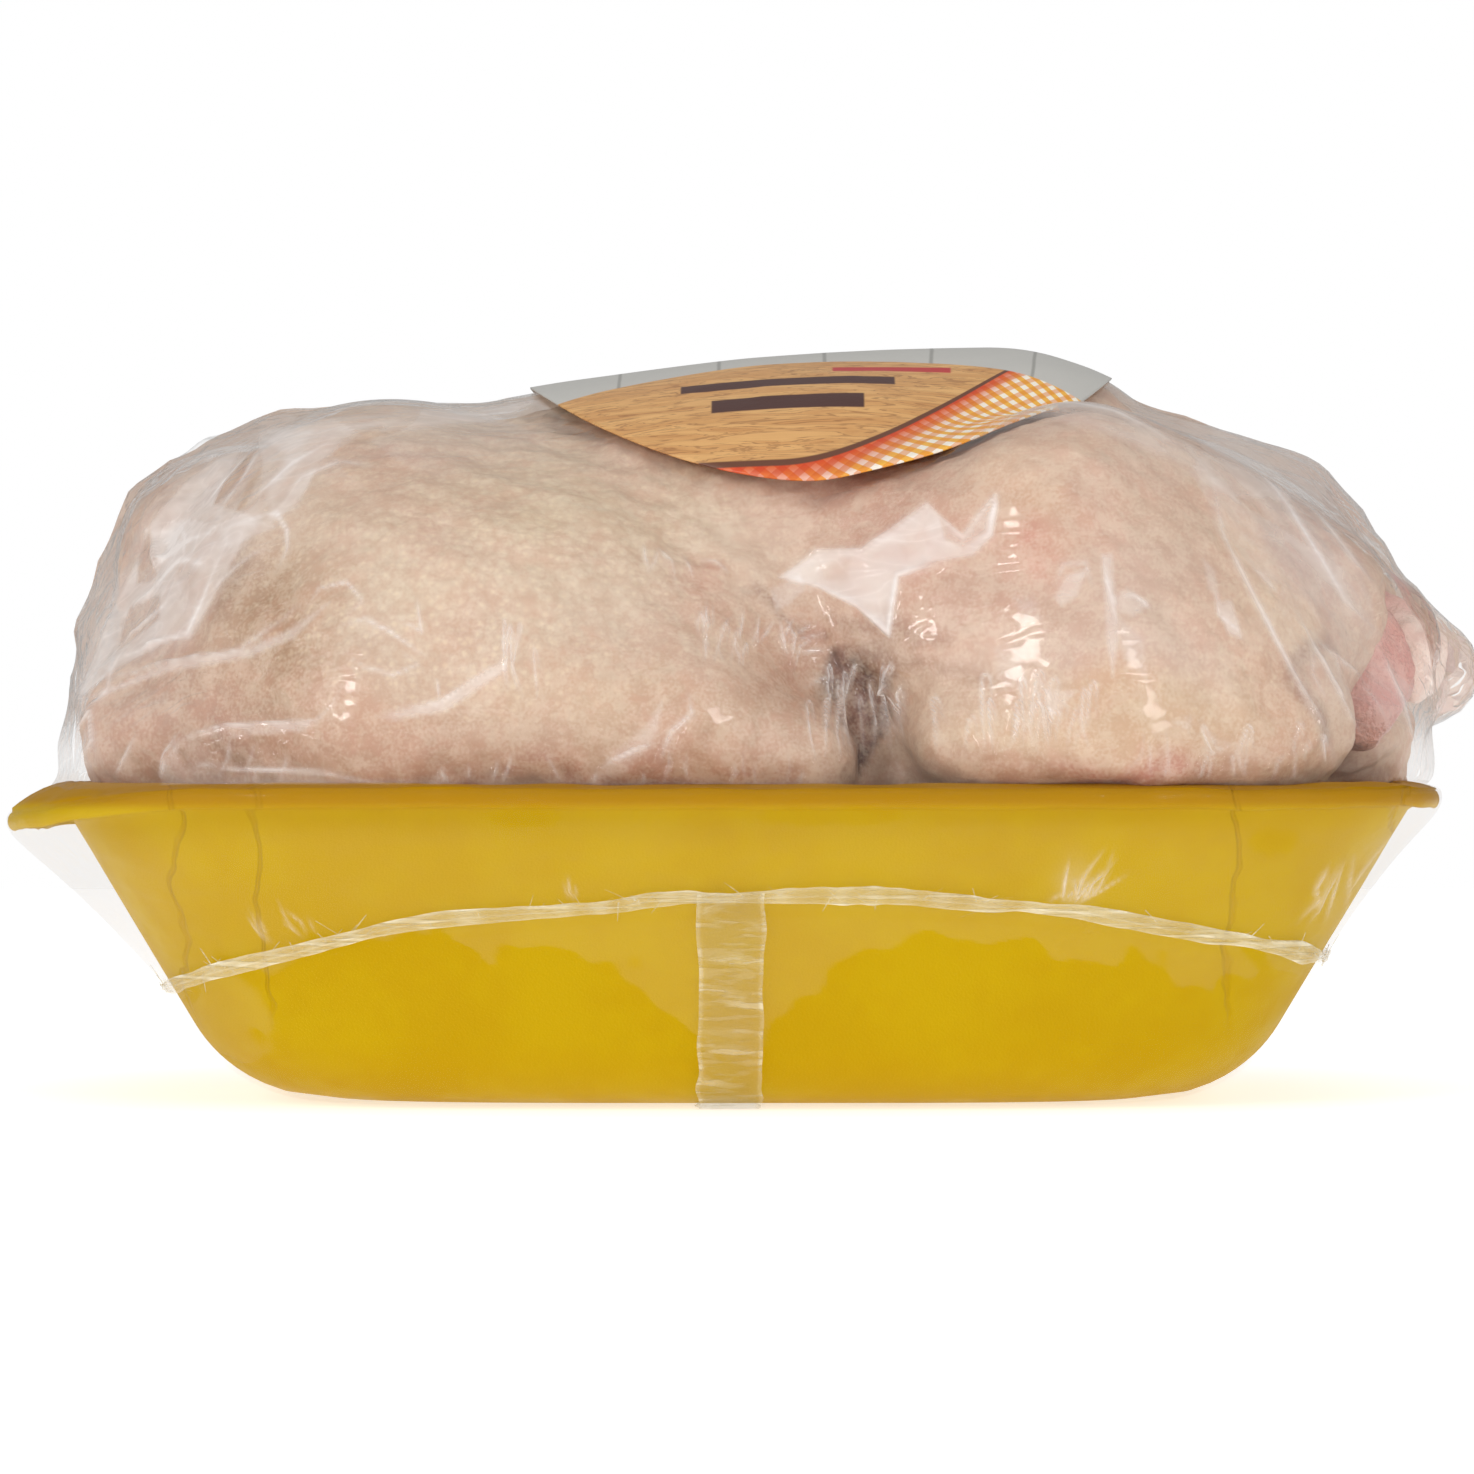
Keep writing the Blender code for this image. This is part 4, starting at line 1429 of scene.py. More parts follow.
@dataclass(frozen=True)
class PrintFinish:
    """Glossy printed paper: a wood-grain field, a checked cloth and pale planks, in flat colours."""

    check_count: float = 21.0

    def make(self, mottle: bpy.types.NodeTree) -> bpy.types.Material:
        """Makes the material."""
        paint = Paint("label_print")
        flat = paint.add("ShaderNodeUVMap", uv_map="flat_map").outputs[0]
        split = paint.add("ShaderNodeSeparateXYZ")
        paint.feed(split.inputs[0], flat)
        across, up = split.outputs["X"], split.outputs["Y"]
        wood = self._wood(paint, flat)
        cloth = self._cloth(paint, across, up)
        lean = paint.sum("MAXIMUM", paint.sum("ADD", across, 0.15), 0.0)
        arc = paint.sum("MULTIPLY_ADD", paint.sum("MULTIPLY", lean, lean), 1.05, -0.93)
        below = paint.sum("SUBTRACT", arc, up)
        orange, white = linear_colour(226, 96, 20), linear_colour(255, 255, 255)
        shade = paint.mix(paint.band(below, 0.0, 0.16), orange, white)
        cloth = paint.mix(1.0, cloth, shade, "MULTIPLY")
        colour = paint.mix(paint.band(below, -0.004, 0.004), wood, cloth)
        line = paint.band(paint.sum("ABSOLUTE", below), 0.016, 0.009)
        colour = paint.mix(line, colour, linear_colour(104, 58, 34))
        planks = self._planks(paint, across, up)
        above = paint.sum("MULTIPLY_ADD", paint.sum("MULTIPLY", across, across), 0.22, up)
        colour = paint.mix(paint.band(above, -0.304, -0.296), colour, planks)
        for left, right, low, high, tone in (
            (-0.46, 0.22, -0.535, -0.465, (74, 38, 30)),
            (-0.36, 0.12, -0.690, -0.600, (74, 38, 30)),
            (0.02, 0.40, -0.420, -0.365, (190, 44, 44)),
        ):
            inside = paint.sum(
                "MULTIPLY",
                paint.band(across, left, left + 0.008),
                paint.band(across, right, right - 0.008),
            )
            inside = paint.sum("MULTIPLY", inside, paint.band(up, low, low + 0.008))
            inside = paint.sum("MULTIPLY", inside, paint.band(up, high, high - 0.008))
            colour = paint.mix(inside, colour, linear_colour(*tone))
        fibre = paint.group(mottle, scale=900.0, fine=0.5).outputs["Mask"]
        shader = paint.shader(
            base_color=colour, roughness=0.42, normal=paint.bump(fibre, 0.00004), coat_roughness=0.15
        )
        paint.feed(shader.inputs["Coat Weight"], 0.08)
        return paint.finish(shader)

    def _wood(self, paint: Paint, flat: bpy.types.NodeSocket) -> bpy.types.NodeSocket:
        """Tan board with long dark grain lines that run slantwise."""
        node = paint.add("ShaderNodeMapping")
        paint.feed(node.inputs["Vector"], flat)
        paint.feed(node.inputs["Rotation"], (0.0, 0.0, 0.20))
        paint.feed(node.inputs["Scale"], (1.1, 9.0, 1.0))
        grain = paint.noise(3.2, 4.0, node.outputs[0], 0.9)
        lines = paint.sum("FRACT", paint.sum("MULTIPLY", grain, 7.0))
        lines = paint.band(paint.sum("ABSOLUTE", paint.sum("SUBTRACT", lines, 0.5)), 0.18, 0.02)
        light, dark = linear_colour(226, 176, 112), linear_colour(204, 148, 88)
        base = paint.mix(paint.band(grain, 0.3, 0.7), light, dark)
        return paint.mix(paint.sum("MULTIPLY", lines, 0.55), base, linear_colour(138, 86, 44))

    def _cloth(
        self, paint: Paint, across: bpy.types.NodeSocket, up: bpy.types.NodeSocket
    ) -> bpy.types.NodeSocket:
        """Checked cloth: two sets of even stripes, darkest where they cross."""
        first = paint.sum("MULTIPLY", paint.sum("ADD", across, up), self.check_count * 0.7)
        second = paint.sum("MULTIPLY", paint.sum("SUBTRACT", across, up), self.check_count * 0.7)
        stripes = [
            paint.band(paint.sum("ABSOLUTE", paint.sum("SUBTRACT", paint.sum("FRACT", way), 0.5)), 0.23, 0.27)
            for way in (first, second)
        ]
        colour = paint.mix(stripes[0], linear_colour(250, 242, 226), linear_colour(244, 182, 66))
        return paint.mix(paint.sum("MULTIPLY", stripes[1], 0.62), colour, linear_colour(232, 138, 14))

    def _planks(
        self, paint: Paint, across: bpy.types.NodeSocket, up: bpy.types.NodeSocket
    ) -> bpy.types.NodeSocket:
        """Pale grey planks with thin dark joints."""
        board = paint.sum("FRACT", paint.sum("MULTIPLY", across, 3.0))
        joint = paint.band(paint.sum("ABSOLUTE", paint.sum("SUBTRACT", board, 0.5)), 0.47, 0.495)
        return paint.mix(joint, linear_colour(196, 194, 188), linear_colour(158, 156, 150))


@dataclass(frozen=True)
class FleshFinish:
    """Bare raw flesh and gristle at the ends of the legs, wet and pink."""

    def make(self, mottle: bpy.types.NodeTree) -> bpy.types.Material:
        """Makes the material."""
        paint = Paint("raw_leg_end")
        tint = paint.colour("tint")
        clouds = paint.band(paint.group(mottle, scale=240.0, fine=0.6).outputs["Mask"], 0.3, 0.7)
        base = paint.mix(paint.sum("MULTIPLY", clouds, 0.45), tint, linear_colour(234, 192, 178))
        normal = paint.bump(clouds, 0.0002)
        shader = paint.shader(base_color=base, roughness=0.30, normal=normal, specular_ior_level=0.4)
        return paint.finish(shader)


# Skin tones by place; the dark spots noted below are painted shade.
SKIN_TONES_AND_SHADE = (
    Spot((525, 530), (330, 170), 0.85, linear_colour(224, 197, 170)),
    Spot((420, 640), (260, 90), 0.7, linear_colour(213, 186, 165)),
    # painted shade at the left edge of the breast
    Spot((275, 630), (55, 95), 0.9, linear_colour(170, 132, 98)),
    Spot((150, 590), (70, 130), 0.9, linear_colour(176, 132, 108)),
    Spot((160, 740), (90, 60), 0.8, linear_colour(196, 150, 126)),
    # painted shade under a fold
    Spot((228, 742), (14, 26), 0.8, linear_colour(130, 84, 70)),
    Spot((330, 735), (180, 40), 0.7, linear_colour(196, 150, 124)),
    Spot((690, 710), (150, 60), 0.8, linear_colour(197, 158, 130)),
    Spot((560, 775), (260, 22), 0.6, linear_colour(186, 134, 112)),
    Spot((915, 550), (100, 90), 0.85, linear_colour(208, 156, 136)),
    Spot((1035, 500), (60, 55), 0.9, linear_colour(214, 172, 142)),
    Spot((1035, 548), (26, 18), 0.8, linear_colour(214, 140, 120)),
    Spot((1130, 640), (120, 85), 0.9, linear_colour(213, 181, 163)),
    Spot((1160, 730), (160, 45), 0.8, linear_colour(204, 164, 130)),
    Spot((1270, 600), (60, 90), 0.85, linear_colour(220, 188, 160)),
    Spot((1118, 771), (95, 16), 1.0, linear_colour(184, 112, 96)),
    # painted shade: the crevice between wing and thigh
    Spot((862, 706), (24, 46), 1.0, linear_colour(84, 46, 34)),
    # painted shade along the crease towards the crevice
    Spot((800, 650), (30, 60), 0.6, linear_colour(176, 126, 102)),
    Spot((1330, 540), (70, 90), 0.8, linear_colour(206, 172, 158)),
    Spot((130, 560), (90, 110), 0.8, linear_colour(196, 168, 152)),
    Spot((710, 575), (16, 14), 0.8, linear_colour(206, 142, 118)),
    Spot((560, 500), (120, 46), 0.55, linear_colour(228, 206, 172)),
    Spot((470, 590), (110, 40), 0.45, linear_colour(226, 204, 172)),
    Spot((420, 510), (70, 22), 0.45, linear_colour(216, 176, 156)),
    Spot((380, 450), (70, 20), 0.55, linear_colour(206, 164, 148)),
    Spot((620, 440), (60, 40), 0.45, linear_colour(216, 176, 158)),
    Spot((690, 640), (60, 40), 0.45, linear_colour(216, 180, 156)),
    Spot((560, 690), (90, 26), 0.50, linear_colour(222, 194, 164)),
    Spot((1140, 700), (110, 24), 0.55, linear_colour(220, 188, 150)),
    Spot((980, 740), (90, 22), 0.50, linear_colour(226, 196, 160)),
    Spot((1010, 600), (80, 26), 0.45, linear_colour(206, 164, 144)),
    Spot((1120, 560), (70, 30), 0.45, linear_colour(214, 176, 156)),
)
SKIN_SHADE = 0.95
PORE_SPOTS = (
    Spot((520, 520), (300, 150), 1.0),
    Spot((420, 660), (200, 80), 0.6),
    Spot((1150, 700), (170, 70), 0.5),
    Spot((1270, 600), (70, 90), 0.5),
)


@dataclass
class BirdSkin:
    """The bird's skin over breast, thighs and wings."""

    left_end: Triple = (-0.058, 0.0, 0.072)
    right_end: Triple = (0.066, 0.0, 0.076)
    rows: int = 330
    columns: int = 298
    cap_share: float = 0.27
    lump_height: float = 0.00035

    def rays(self) -> tuple[np.ndarray, np.ndarray]:
        """Starts and directions of rays from the bird's long axis: round it, and over its ends."""
        share = np.linspace(0.0, 1.0, self.rows)[:, None]
        even = np.linspace(0.0, 1.0, self.columns, endpoint=False)[None, :]
        turn = FULL_TURN * (even + 0.055 * np.sin(FULL_TURN * even)) + 0.5 * math.pi
        cap = self.cap_share
        tilt = np.where(share < cap, share / cap - 1.0, np.maximum(share - 1.0 + cap, 0.0) / cap)
        tilt = tilt * 0.5 * math.pi
        along = np.clip((share - cap) / (1.0 - 2.0 * cap), 0.0, 1.0)
        start = np.array(self.left_end) + along[..., None] * (
            np.array(self.right_end) - np.array(self.left_end)
        )
        rays = np.stack(
            np.broadcast_arrays(np.sin(tilt), np.cos(tilt) * np.cos(turn), np.cos(tilt) * np.sin(turn)),
            axis=-1,
        )
        return np.broadcast_to(start, rays.shape), rays

    def build(self) -> bpy.types.Object:
        """Finds the skin along the rays, adds small lumps, and colours it by place."""
        start, rays = self.rays()
        reach = march(start, rays, 0.13, False)
        points = start + rays * reach[..., None]
        lumps = 2.4 * waves(points, 0.034, 4) + 1.2 * waves(points, 0.015, 5)
        lumps = lumps + 0.9 * waves(points, 0.007, 6) + 0.5 * waves(points, 0.0035, 7)
        lift = np.minimum(lumps * self.lump_height - 0.0008, 0.0003)
        points = points + rays * lift[..., None]
        points[0], points[-1] = points[0].mean(axis=0), points[-1].mean(axis=0)
        inner = np.maximum(TRAY.inner(np.arctan2(points[..., 1], points[..., 0]), points[..., 2]), 0.02)
        plan = np.hypot(points[..., 0], points[..., 1])
        fits = np.where(points[..., 2] < TRAY.height, np.minimum(1.0, (inner - 0.001) / plan), 1.0)
        points[..., :2] *= fits[..., None]
        points[..., 2] = np.maximum(points[..., 2], TRAY.foam + 0.001)
        flat = points[..., [0, 2]]
        surface = Surface(
            "chicken_skin", points, wraps=True, first_pole=True, last_pole=True,
            values={"tint": self.tint(points), "pores": spotted(flat, PORE_SPOTS)},
        )
        return surface.build()

    def tint(self, points: np.ndarray) -> np.ndarray:
        """Colour of the skin by place: a cream ground with warmer and paler patches, and darker patches that
        are mostly painted shade in the crevice, the creases and under folds.
        """
        flat = points[..., [0, 2]] + 0.003 * np.stack(
            [waves(points, 0.02, 31), waves(points, 0.02, 32)], axis=-1
        )
        colour = np.broadcast_to(linear_colour(213, 180, 157), points.shape).copy()
        for spot in SKIN_TONES_AND_SHADE:
            share = np.clip(spot.share(flat), 0.0, 1.0)[..., None]
            colour = colour * (1.0 - share) + np.array(spot.colour) * share
        shown = smooth_step(-points[..., 1] / 0.02)
        for patch in SKIN_TONE_AND_SHADE_PATCHES:
            share = (patch.share(flat) * shown)[..., None]
            colour = colour * (1.0 - share) + np.array(patch.colour) * share
        return colour * SKIN_SHADE


def spotted(flat: np.ndarray, spots: Sequence[Spot]) -> np.ndarray:
    """Sum of spots at places, held between 0 and 1."""
    return np.clip(sum(spot.share(flat) for spot in spots), 0.0, 1.0)


@dataclass
class LegEnd:
    """The end of a leg, where the foot was cut off: a knuckle with bare flesh round it."""

    name: str
    path: tuple[Triple, ...]
    radii: tuple[float, ...]
    colours: tuple[Triple, ...]
    seed: int
    rows: int = 110
    columns: int = 84

    def build(self) -> bpy.types.Object:
        """Carries an uneven round outline along a smooth path, closed at both ends."""
        share = np.linspace(0.0, 1.0, self.rows)
        knots = np.linspace(0.0, 1.0, len(self.path))
        path = np.stack([self._eased(share, knots, np.array(self.path)[:, i]) for i in range(3)], 1)
        radius = self._eased(share, knots, np.array(self.radii))
        radius = radius * np.sqrt(np.clip(1.0 - np.clip((share - 0.90) / 0.10, 0.0, 1.0) ** 2, 0.0, 1.0))
        radius = radius * np.sqrt(np.clip(1.0 - np.clip((0.06 - share) / 0.06, 0.0, 1.0) ** 2, 0.0, 1.0))
        way = np.gradient(path, axis=0)
        way /= np.linalg.norm(way, axis=1, keepdims=True)
        first = np.cross(way, (0.0, 1.0, 0.0))
        first /= np.linalg.norm(first, axis=1, keepdims=True)
        second = np.cross(way, first)
        turn = np.linspace(0.0, FULL_TURN, self.columns, endpoint=False)
        out = (
            first[:, None] * np.cos(turn)[None, :, None] + second[:, None] * np.sin(turn)[None, :, None]
        )
        points = path[:, None] + out * radius[:, None, None]
        lumps = waves(points, 0.012, self.seed) * 0.0009 + waves(points, 0.004, self.seed + 1) * 0.0002
        points = points + out * (lumps * smooth_step(radius / 0.004)[:, None])[..., None]
        tint = np.stack(
            [np.interp(share, knots, np.array(self.colours)[:, i]) for i in range(3)], axis=-1
        )
        tint = np.broadcast_to(tint[:, None], points.shape).copy()
        blot = smooth_step(waves(points, 0.008, self.seed + 2) - 0.1)[..., None]
        tint = tint * (1.0 - 0.30 * blot) + np.array(linear_colour(214, 150, 142)) * 0.30 * blot
        surface = Surface(
            self.name, points, wraps=True, first_pole=True, last_pole=True, values={"tint": tint}
        )
        return surface.build()

    @staticmethod
    def _eased(share: np.ndarray, knots: np.ndarray, values: np.ndarray) -> np.ndarray:
        """Values between knots, smoothed by a short running mean."""
        line = np.interp(share, knots, values)
        padded = np.pad(line, 8, mode="edge")
        return np.convolve(padded, np.ones(17) / 17.0, mode="valid")


@dataclass
class FoamTray:
    """The foam tray: one closed surface, over the rim, down the outside and back up the inside."""

    form: TrayForm = TRAY
    columns: int = 520
    lift: float = 0.0008

    def build(self) -> bpy.types.Object:
        """Stacks rings from the middle of the floor up the inside, over the rim and down the outside."""
        form = self.form
        angle = np.linspace(0.0, FULL_TURN, self.columns, endpoint=False)
        full = np.full(angle.shape, 1.0)
        rings: list[tuple[np.ndarray, np.ndarray]] = []
        floor = form.inner(angle, full * form.foam)
        for share in (0.0, 0.3, 0.6, 0.85):
            rings.append((floor * share, full * form.foam))
        for share in np.linspace(0.0, 1.0, 16) ** 1.5:
            level = full * (form.foam + (form.height - form.foam) * share)
            rings.append((form.inner(angle, level), level))
        rim, drop = form.rim_width(angle), form.rim_drop(angle)
        inside = form.inner(angle, full * form.height)
        for share in (0.10, 0.25, 0.45, 0.65, 0.82, 0.93):
            rings.append((inside + rim * share, form.height - drop * share**2))
        edge, level = inside + rim, form.height - drop
        bulge = 0.5 * form.foam
        for turn in np.linspace(0.4 * math.pi, -0.4 * math.pi, 7):
            out = edge - 0.0012 + bulge * 0.7 * math.cos(turn)
            rings.append((out, level - bulge + bulge * math.sin(turn)))
        wall_top = form.height - form.foam - 0.0015
        wall = form.outer(angle, full * wall_top)
        for share in (0.85, 0.6, 0.35):
            rings.append((wall + (edge - wall) * share, form.height - form.foam - drop * share**2))
        for share in 1.0 - np.linspace(0.0, 1.0, 34) ** 0.8:
            height = full * wall_top * share
            rings.append((form.outer(angle, height), height))
        foot = form.outer(angle, full * 0.0)
        for share in (0.85, 0.6, 0.3, 0.0):
            rings.append((foot * share, full * 0.0))
        points = np.stack([ring(angle, *sizes) for sizes in rings])
        points[..., 2] = self.lift + points[..., 2] * (1.0 - self.lift / form.height)
        points = points + self.waver(points)
        return Surface("foam_tray", points, wraps=True, first_pole=True, last_pole=True).build()

    def waver(self, points: np.ndarray) -> np.ndarray:
        """Small unevenness of the rim and walls: a slow swell that fades out at the foot."""
        high = smooth_step((points[..., 2] - 0.012) / 0.045)[..., None]
        plan = points * (1.0, 1.0, 0.0)
        out = plan / np.maximum(np.linalg.norm(plan, axis=-1, keepdims=True), 1e-6)
        swell = 0.00035 * waves(plan, 0.060, 41) + 0.00015 * waves(plan, 0.018, 42)
        rise = 0.00040 * waves(plan, 0.045, 43) + 0.00015 * waves(plan, 0.014, 44)
        up = np.array([0.0, 0.0, 1.0])
        return high * (out * swell[..., None] + up * rise[..., None] * high)


@dataclass
class ClearFilm:
    """The film over the bird and the rim, and the film under the tray, welded to each other."""

    net: FilmNet
    near_columns: int = 1081
    far_columns: int = 300
    clearance: float = 0.0013

    def over(self, side: Side) -> list[bpy.types.Object]:
        """One long side of the film from the top down to the weld, with its folds and dents.

        Args:
            side: which side; the near one is finer, and it is made as three pieces.

        Returns:
            The side's pieces.
        """
        near = side is Side.NEAR
        start, stop = (-math.pi, 0.0) if near else (0.0, math.pi)
        angle = self.net.even_angles(start, stop, self.near_columns if near else self.far_columns)
        low = self.net.form.dome_rows * 0.28
        rows = np.concatenate(
            [
                np.linspace(0.0, low, 12, endpoint=False),
                np.linspace(low, self.net.rim_row, 194 if near else 64, endpoint=False),
                np.linspace(self.net.rim_row, self.net.seam_row, 54 if near else 24),
            ]
        )
        points = self.net.at(rows[:, None], angle[None, :])
        normals = grid_normals(points, np.array(self.net.form.centre) * (1.0, 1.0, 0.5))
        slack, lift, crest = self.relief(points, rows[:, None] * np.ones_like(angle), near)
        points = points + normals * lift[..., None]
        points[:, [0, -1], 1] = 0.0
        gap = self.keep_clear(points, normals, rows)
        values = self.values(points, rows, gap, slack, crest, near)
        if not near:
            return [Surface("film_over_far", points, first_pole=True, values=values).build()]
        third = angle.size // 3
        shares = {"left": (0, third), "middle": (third, 2 * third), "right": (2 * third, 3 * third)}
        pieces = []
        for end, (first, last) in shares.items():
            columns = slice(first, last + 1)
            half = {name: value[:, columns] for name, value in values.items()}
            surface = Surface(f"film_over_near_{end}", points[:, columns], first_pole=True, values=half)
            pieces.append(surface.build())
        return pieces

    def values(
        self, points: np.ndarray, rows: np.ndarray, gap: np.ndarray, slack: np.ndarray,
        crest: np.ndarray, near: bool,
    ) -> dict[str, np.ndarray]:
        """What the finish reads at each place of the film over the bird.

        Args:
            points: the film's places.
            rows: its rows on the net.
            gap: distances from the bird.
            slack: how slack it is.
            crest: where its creases are.
            near: whether this is the shown side.

        Returns:
            The haze-and-glare value (a milky haze plus painted reflections and highlights), shine and slack,
            by name.
        """
        flat = points[..., [0, 2]]
        above = (rows < self.net.rim_row + 0.5)[:, None]
        at_rim = smooth_step((rows - self.net.rim_row + 4.0) / 3.0)[:, None]
        at_lip = 1.0 - smooth_step((rows - self.net.lip_row - 1.5) / 1.0)[:, None]
        plates = crumple(flat @ TILT, 0.011, 54, 1.9)[1]
        # Haze where the film stands off the bird, plus painted reflections from the spots and patches.
        haze_and_glare_cloud = spotted(flat, HAZE_AND_GLARE_SPOTS) * (0.12 + 1.05 * smooth_step(plates * 1.6 - 0.4))
        haze_and_glare_patches = sum(patch.share(flat) for patch in FILM_HAZE_AND_GLARE_PATCHES) if near else 0.0
        haze_and_glare_patches = 0.66 * haze_and_glare_patches * smooth_step((-points[..., 1] - 0.002) / 0.012)
        haze_and_glare = 0.015 + 0.07 * smooth_step(gap / 0.012) + 0.30 * haze_and_glare_cloud
        haze_and_glare = np.clip(haze_and_glare + haze_and_glare_patches, 0.0, 0.85) * (1.0 - 0.7 * at_rim)
        cling_and_rim_shade = spotted_edge(flat) if near else 0.0 * slack
        skirt = (0.020 + 0.3 * spotted(flat, SKIRT_VEILS)) * (1.0 - 0.85 * cling_and_rim_shade) * (1.0 - 0.7 * at_lip)
        # Painted highlight: the film is whitened along each fold's crease.
        haze_and_glare = np.where(above, haze_and_glare, skirt) + 0.50 * crest
        shine = np.where(above, 0.85 * (1.0 - 0.75 * at_rim), 0.12) + 0.5 * crest
        return {"haze_and_glare": haze_and_glare, "slack": slack, "shine": shine}

    def relief(
        self, points: np.ndarray, rows: np.ndarray, near: bool
    ) -> tuple[np.ndarray, np.ndarray, np.ndarray]:
        """How slack the film is, how far its folds and dents stand out, and where its creases are.

        Dents lie where the film spans air at its ends and beneath the rim; folds lie along their
        marks; both fade out under the label. A crease is the sharp top of a fold.
        """
        flat = points[..., [0, 2]]
        hidden = smooth_step((0.062 - np.hypot(points[..., 0] - 0.016, points[..., 1] * 1.1)) / 0.008)
        hidden = hidden * smooth_step((points[..., 2] - 0.095) / 0.01)
        left = smooth_step((-points[..., 0] - 0.062) / 0.030)
        right = smooth_step((points[..., 0] - 0.085) / 0.03)
        high = smooth_step((points[..., 2] - 0.118) / 0.012)
        skirt = smooth_step((rows - self.net.lip_row) / 1.5)
        slack = 0.35 + 0.65 * np.maximum(left, 0.8 * right) + 0.2 * high
        slack = np.clip(np.where(skirt > 0.0, 0.5, slack), 0.0, 1.0) * (1.0 - hidden)
        above = 1.0 - smooth_step((rows - self.net.rim_row + 2.0) / 2.0)
        large, small = crumple(flat @ TILT, 0.024, 51, 1.6)[0], crumple(flat @ TILT, 0.010, 52, 1.6)[0]
        dents = 0.0012 * large + 0.0006 * small
        lift = (dents * (0.30 + 0.85 * np.maximum(left, 0.8 * right)) - 0.0008) * above
        crest = np.zeros(lift.shape)
        if near:
            folds = [*FOLDS, *(fold for fan in FANS for fold in fan.folds())]
            shown = smooth_step((-points[..., 1] - 0.010) / 0.016)
            for fold in folds:
                rise = self.fold_lift(fold, flat) * shown
                lift = lift + rise
                crest = np.maximum(crest, (rise / fold.height) ** 3 * min(fold.height / 0.001, 1.0))
        else:
            lift = lift + 0.0009 * crumple(flat, 0.013, 53, 2.0)[0] * above
        fade = smooth_step(rows / 3.0) * (1.0 - smooth_step((rows - self.net.seam_row + 1.0) / 1.0))
        return slack, lift * (1.0 - hidden) * fade, crest * (1.0 - hidden) * fade

    @staticmethod
    def fold_lift(fold: Fold, flat: np.ndarray) -> np.ndarray:
        """A fold's height, worked out only near its marks."""
        line = seen_at(fold.marks)
        reach = 4.0 * fold.width
        low, high = line.min(axis=0) - reach, line.max(axis=0) + reach
        close = ((flat > low) & (flat < high)).all(axis=-1)
        lift = np.zeros(flat.shape[:-1])
        if close.any():
            lift[close] = fold.lift(flat[close])
        return lift

    def keep_clear(self, points: np.ndarray, normals: np.ndarray, rows: np.ndarray) -> np.ndarray:
        """Moves film that would cut into the bird out of it, and returns its distance from the bird."""
        dome = rows < self.net.rim_row
        gap = np.full(points.shape[:2], 0.02)
        for _ in range(2):
            gap[dome] = bird_distance(points[dome])
            push = np.maximum(self.clearance - gap, 0.0) * (gap > -0.01)
            points += normals * push[..., None]
        return np.maximum(gap, 0.0)

    def under(self) -> bpy.types.Object:
        """The film below the weld: down the wall, round the foot and beneath it."""
        angle = self.net.even_angles(-math.pi, math.pi, 761)[:-1]
        span = self.net.last_row - self.net.seam_row
        rows = np.concatenate(
            [
                np.linspace(self.net.seam_row, self.net.seam_row + 0.58 * span, 92, endpoint=False),
                np.linspace(self.net.seam_row + 0.58 * span, self.net.last_row, 16),
            ]
        )
        points = self.net.at(rows[:, None], angle[None, :])
        points[-1] = points[-1].mean(axis=0)
        normals = grid_normals(points, np.array([0.0, 0.0, 0.03]))
        flat = points[..., [0, 2]]
        near = points[..., 1] < 0.0
        wander = 0.35 * waves(points, 0.055, 61) + 0.2
        cling_and_rim_shade = np.where(near, spotted_edge(flat), smooth_step(wander * 3.0))
        wall = smooth_step((points[..., 2] - 0.004) / 0.006)
        free = (rows > self.net.seam_row + 0.5)[:, None]
        lift = ((1.0 - cling_and_rim_shade) * 0.0009 + 0.0002 * crumple(flat, 0.012, 62)[0]) * wall * free
        points = points + normals * lift[..., None]
        points[..., 2] = np.maximum(points[..., 2], 0.0001)
        haze_and_glare = 0.032 * (1.0 - cling_and_rim_shade)
        slack = 0.35 + 0.3 * (1.0 - cling_and_rim_shade)
        values = {"haze_and_glare": haze_and_glare, "slack": slack, "shine": np.full(slack.shape, 0.04)}
        return Surface("film_under", points, wraps=True, last_pole=True, values=values).build()


def spotted_edge(flat: np.ndarray) -> np.ndarray:
    """Where the film clings to the foam, and painted shade of the rim in two thin spots just under it: spots
    with a ragged, crisp edge.
    """
    total = sum(spot.share(flat) for spot in CLING_AND_RIM_SHADE_SPOTS)
    total = total + 0.16 * waves(flat, 0.022, 71) + 0.08 * waves(flat, 0.008, 72)
    return smooth_step((total - 0.52) / 0.05)


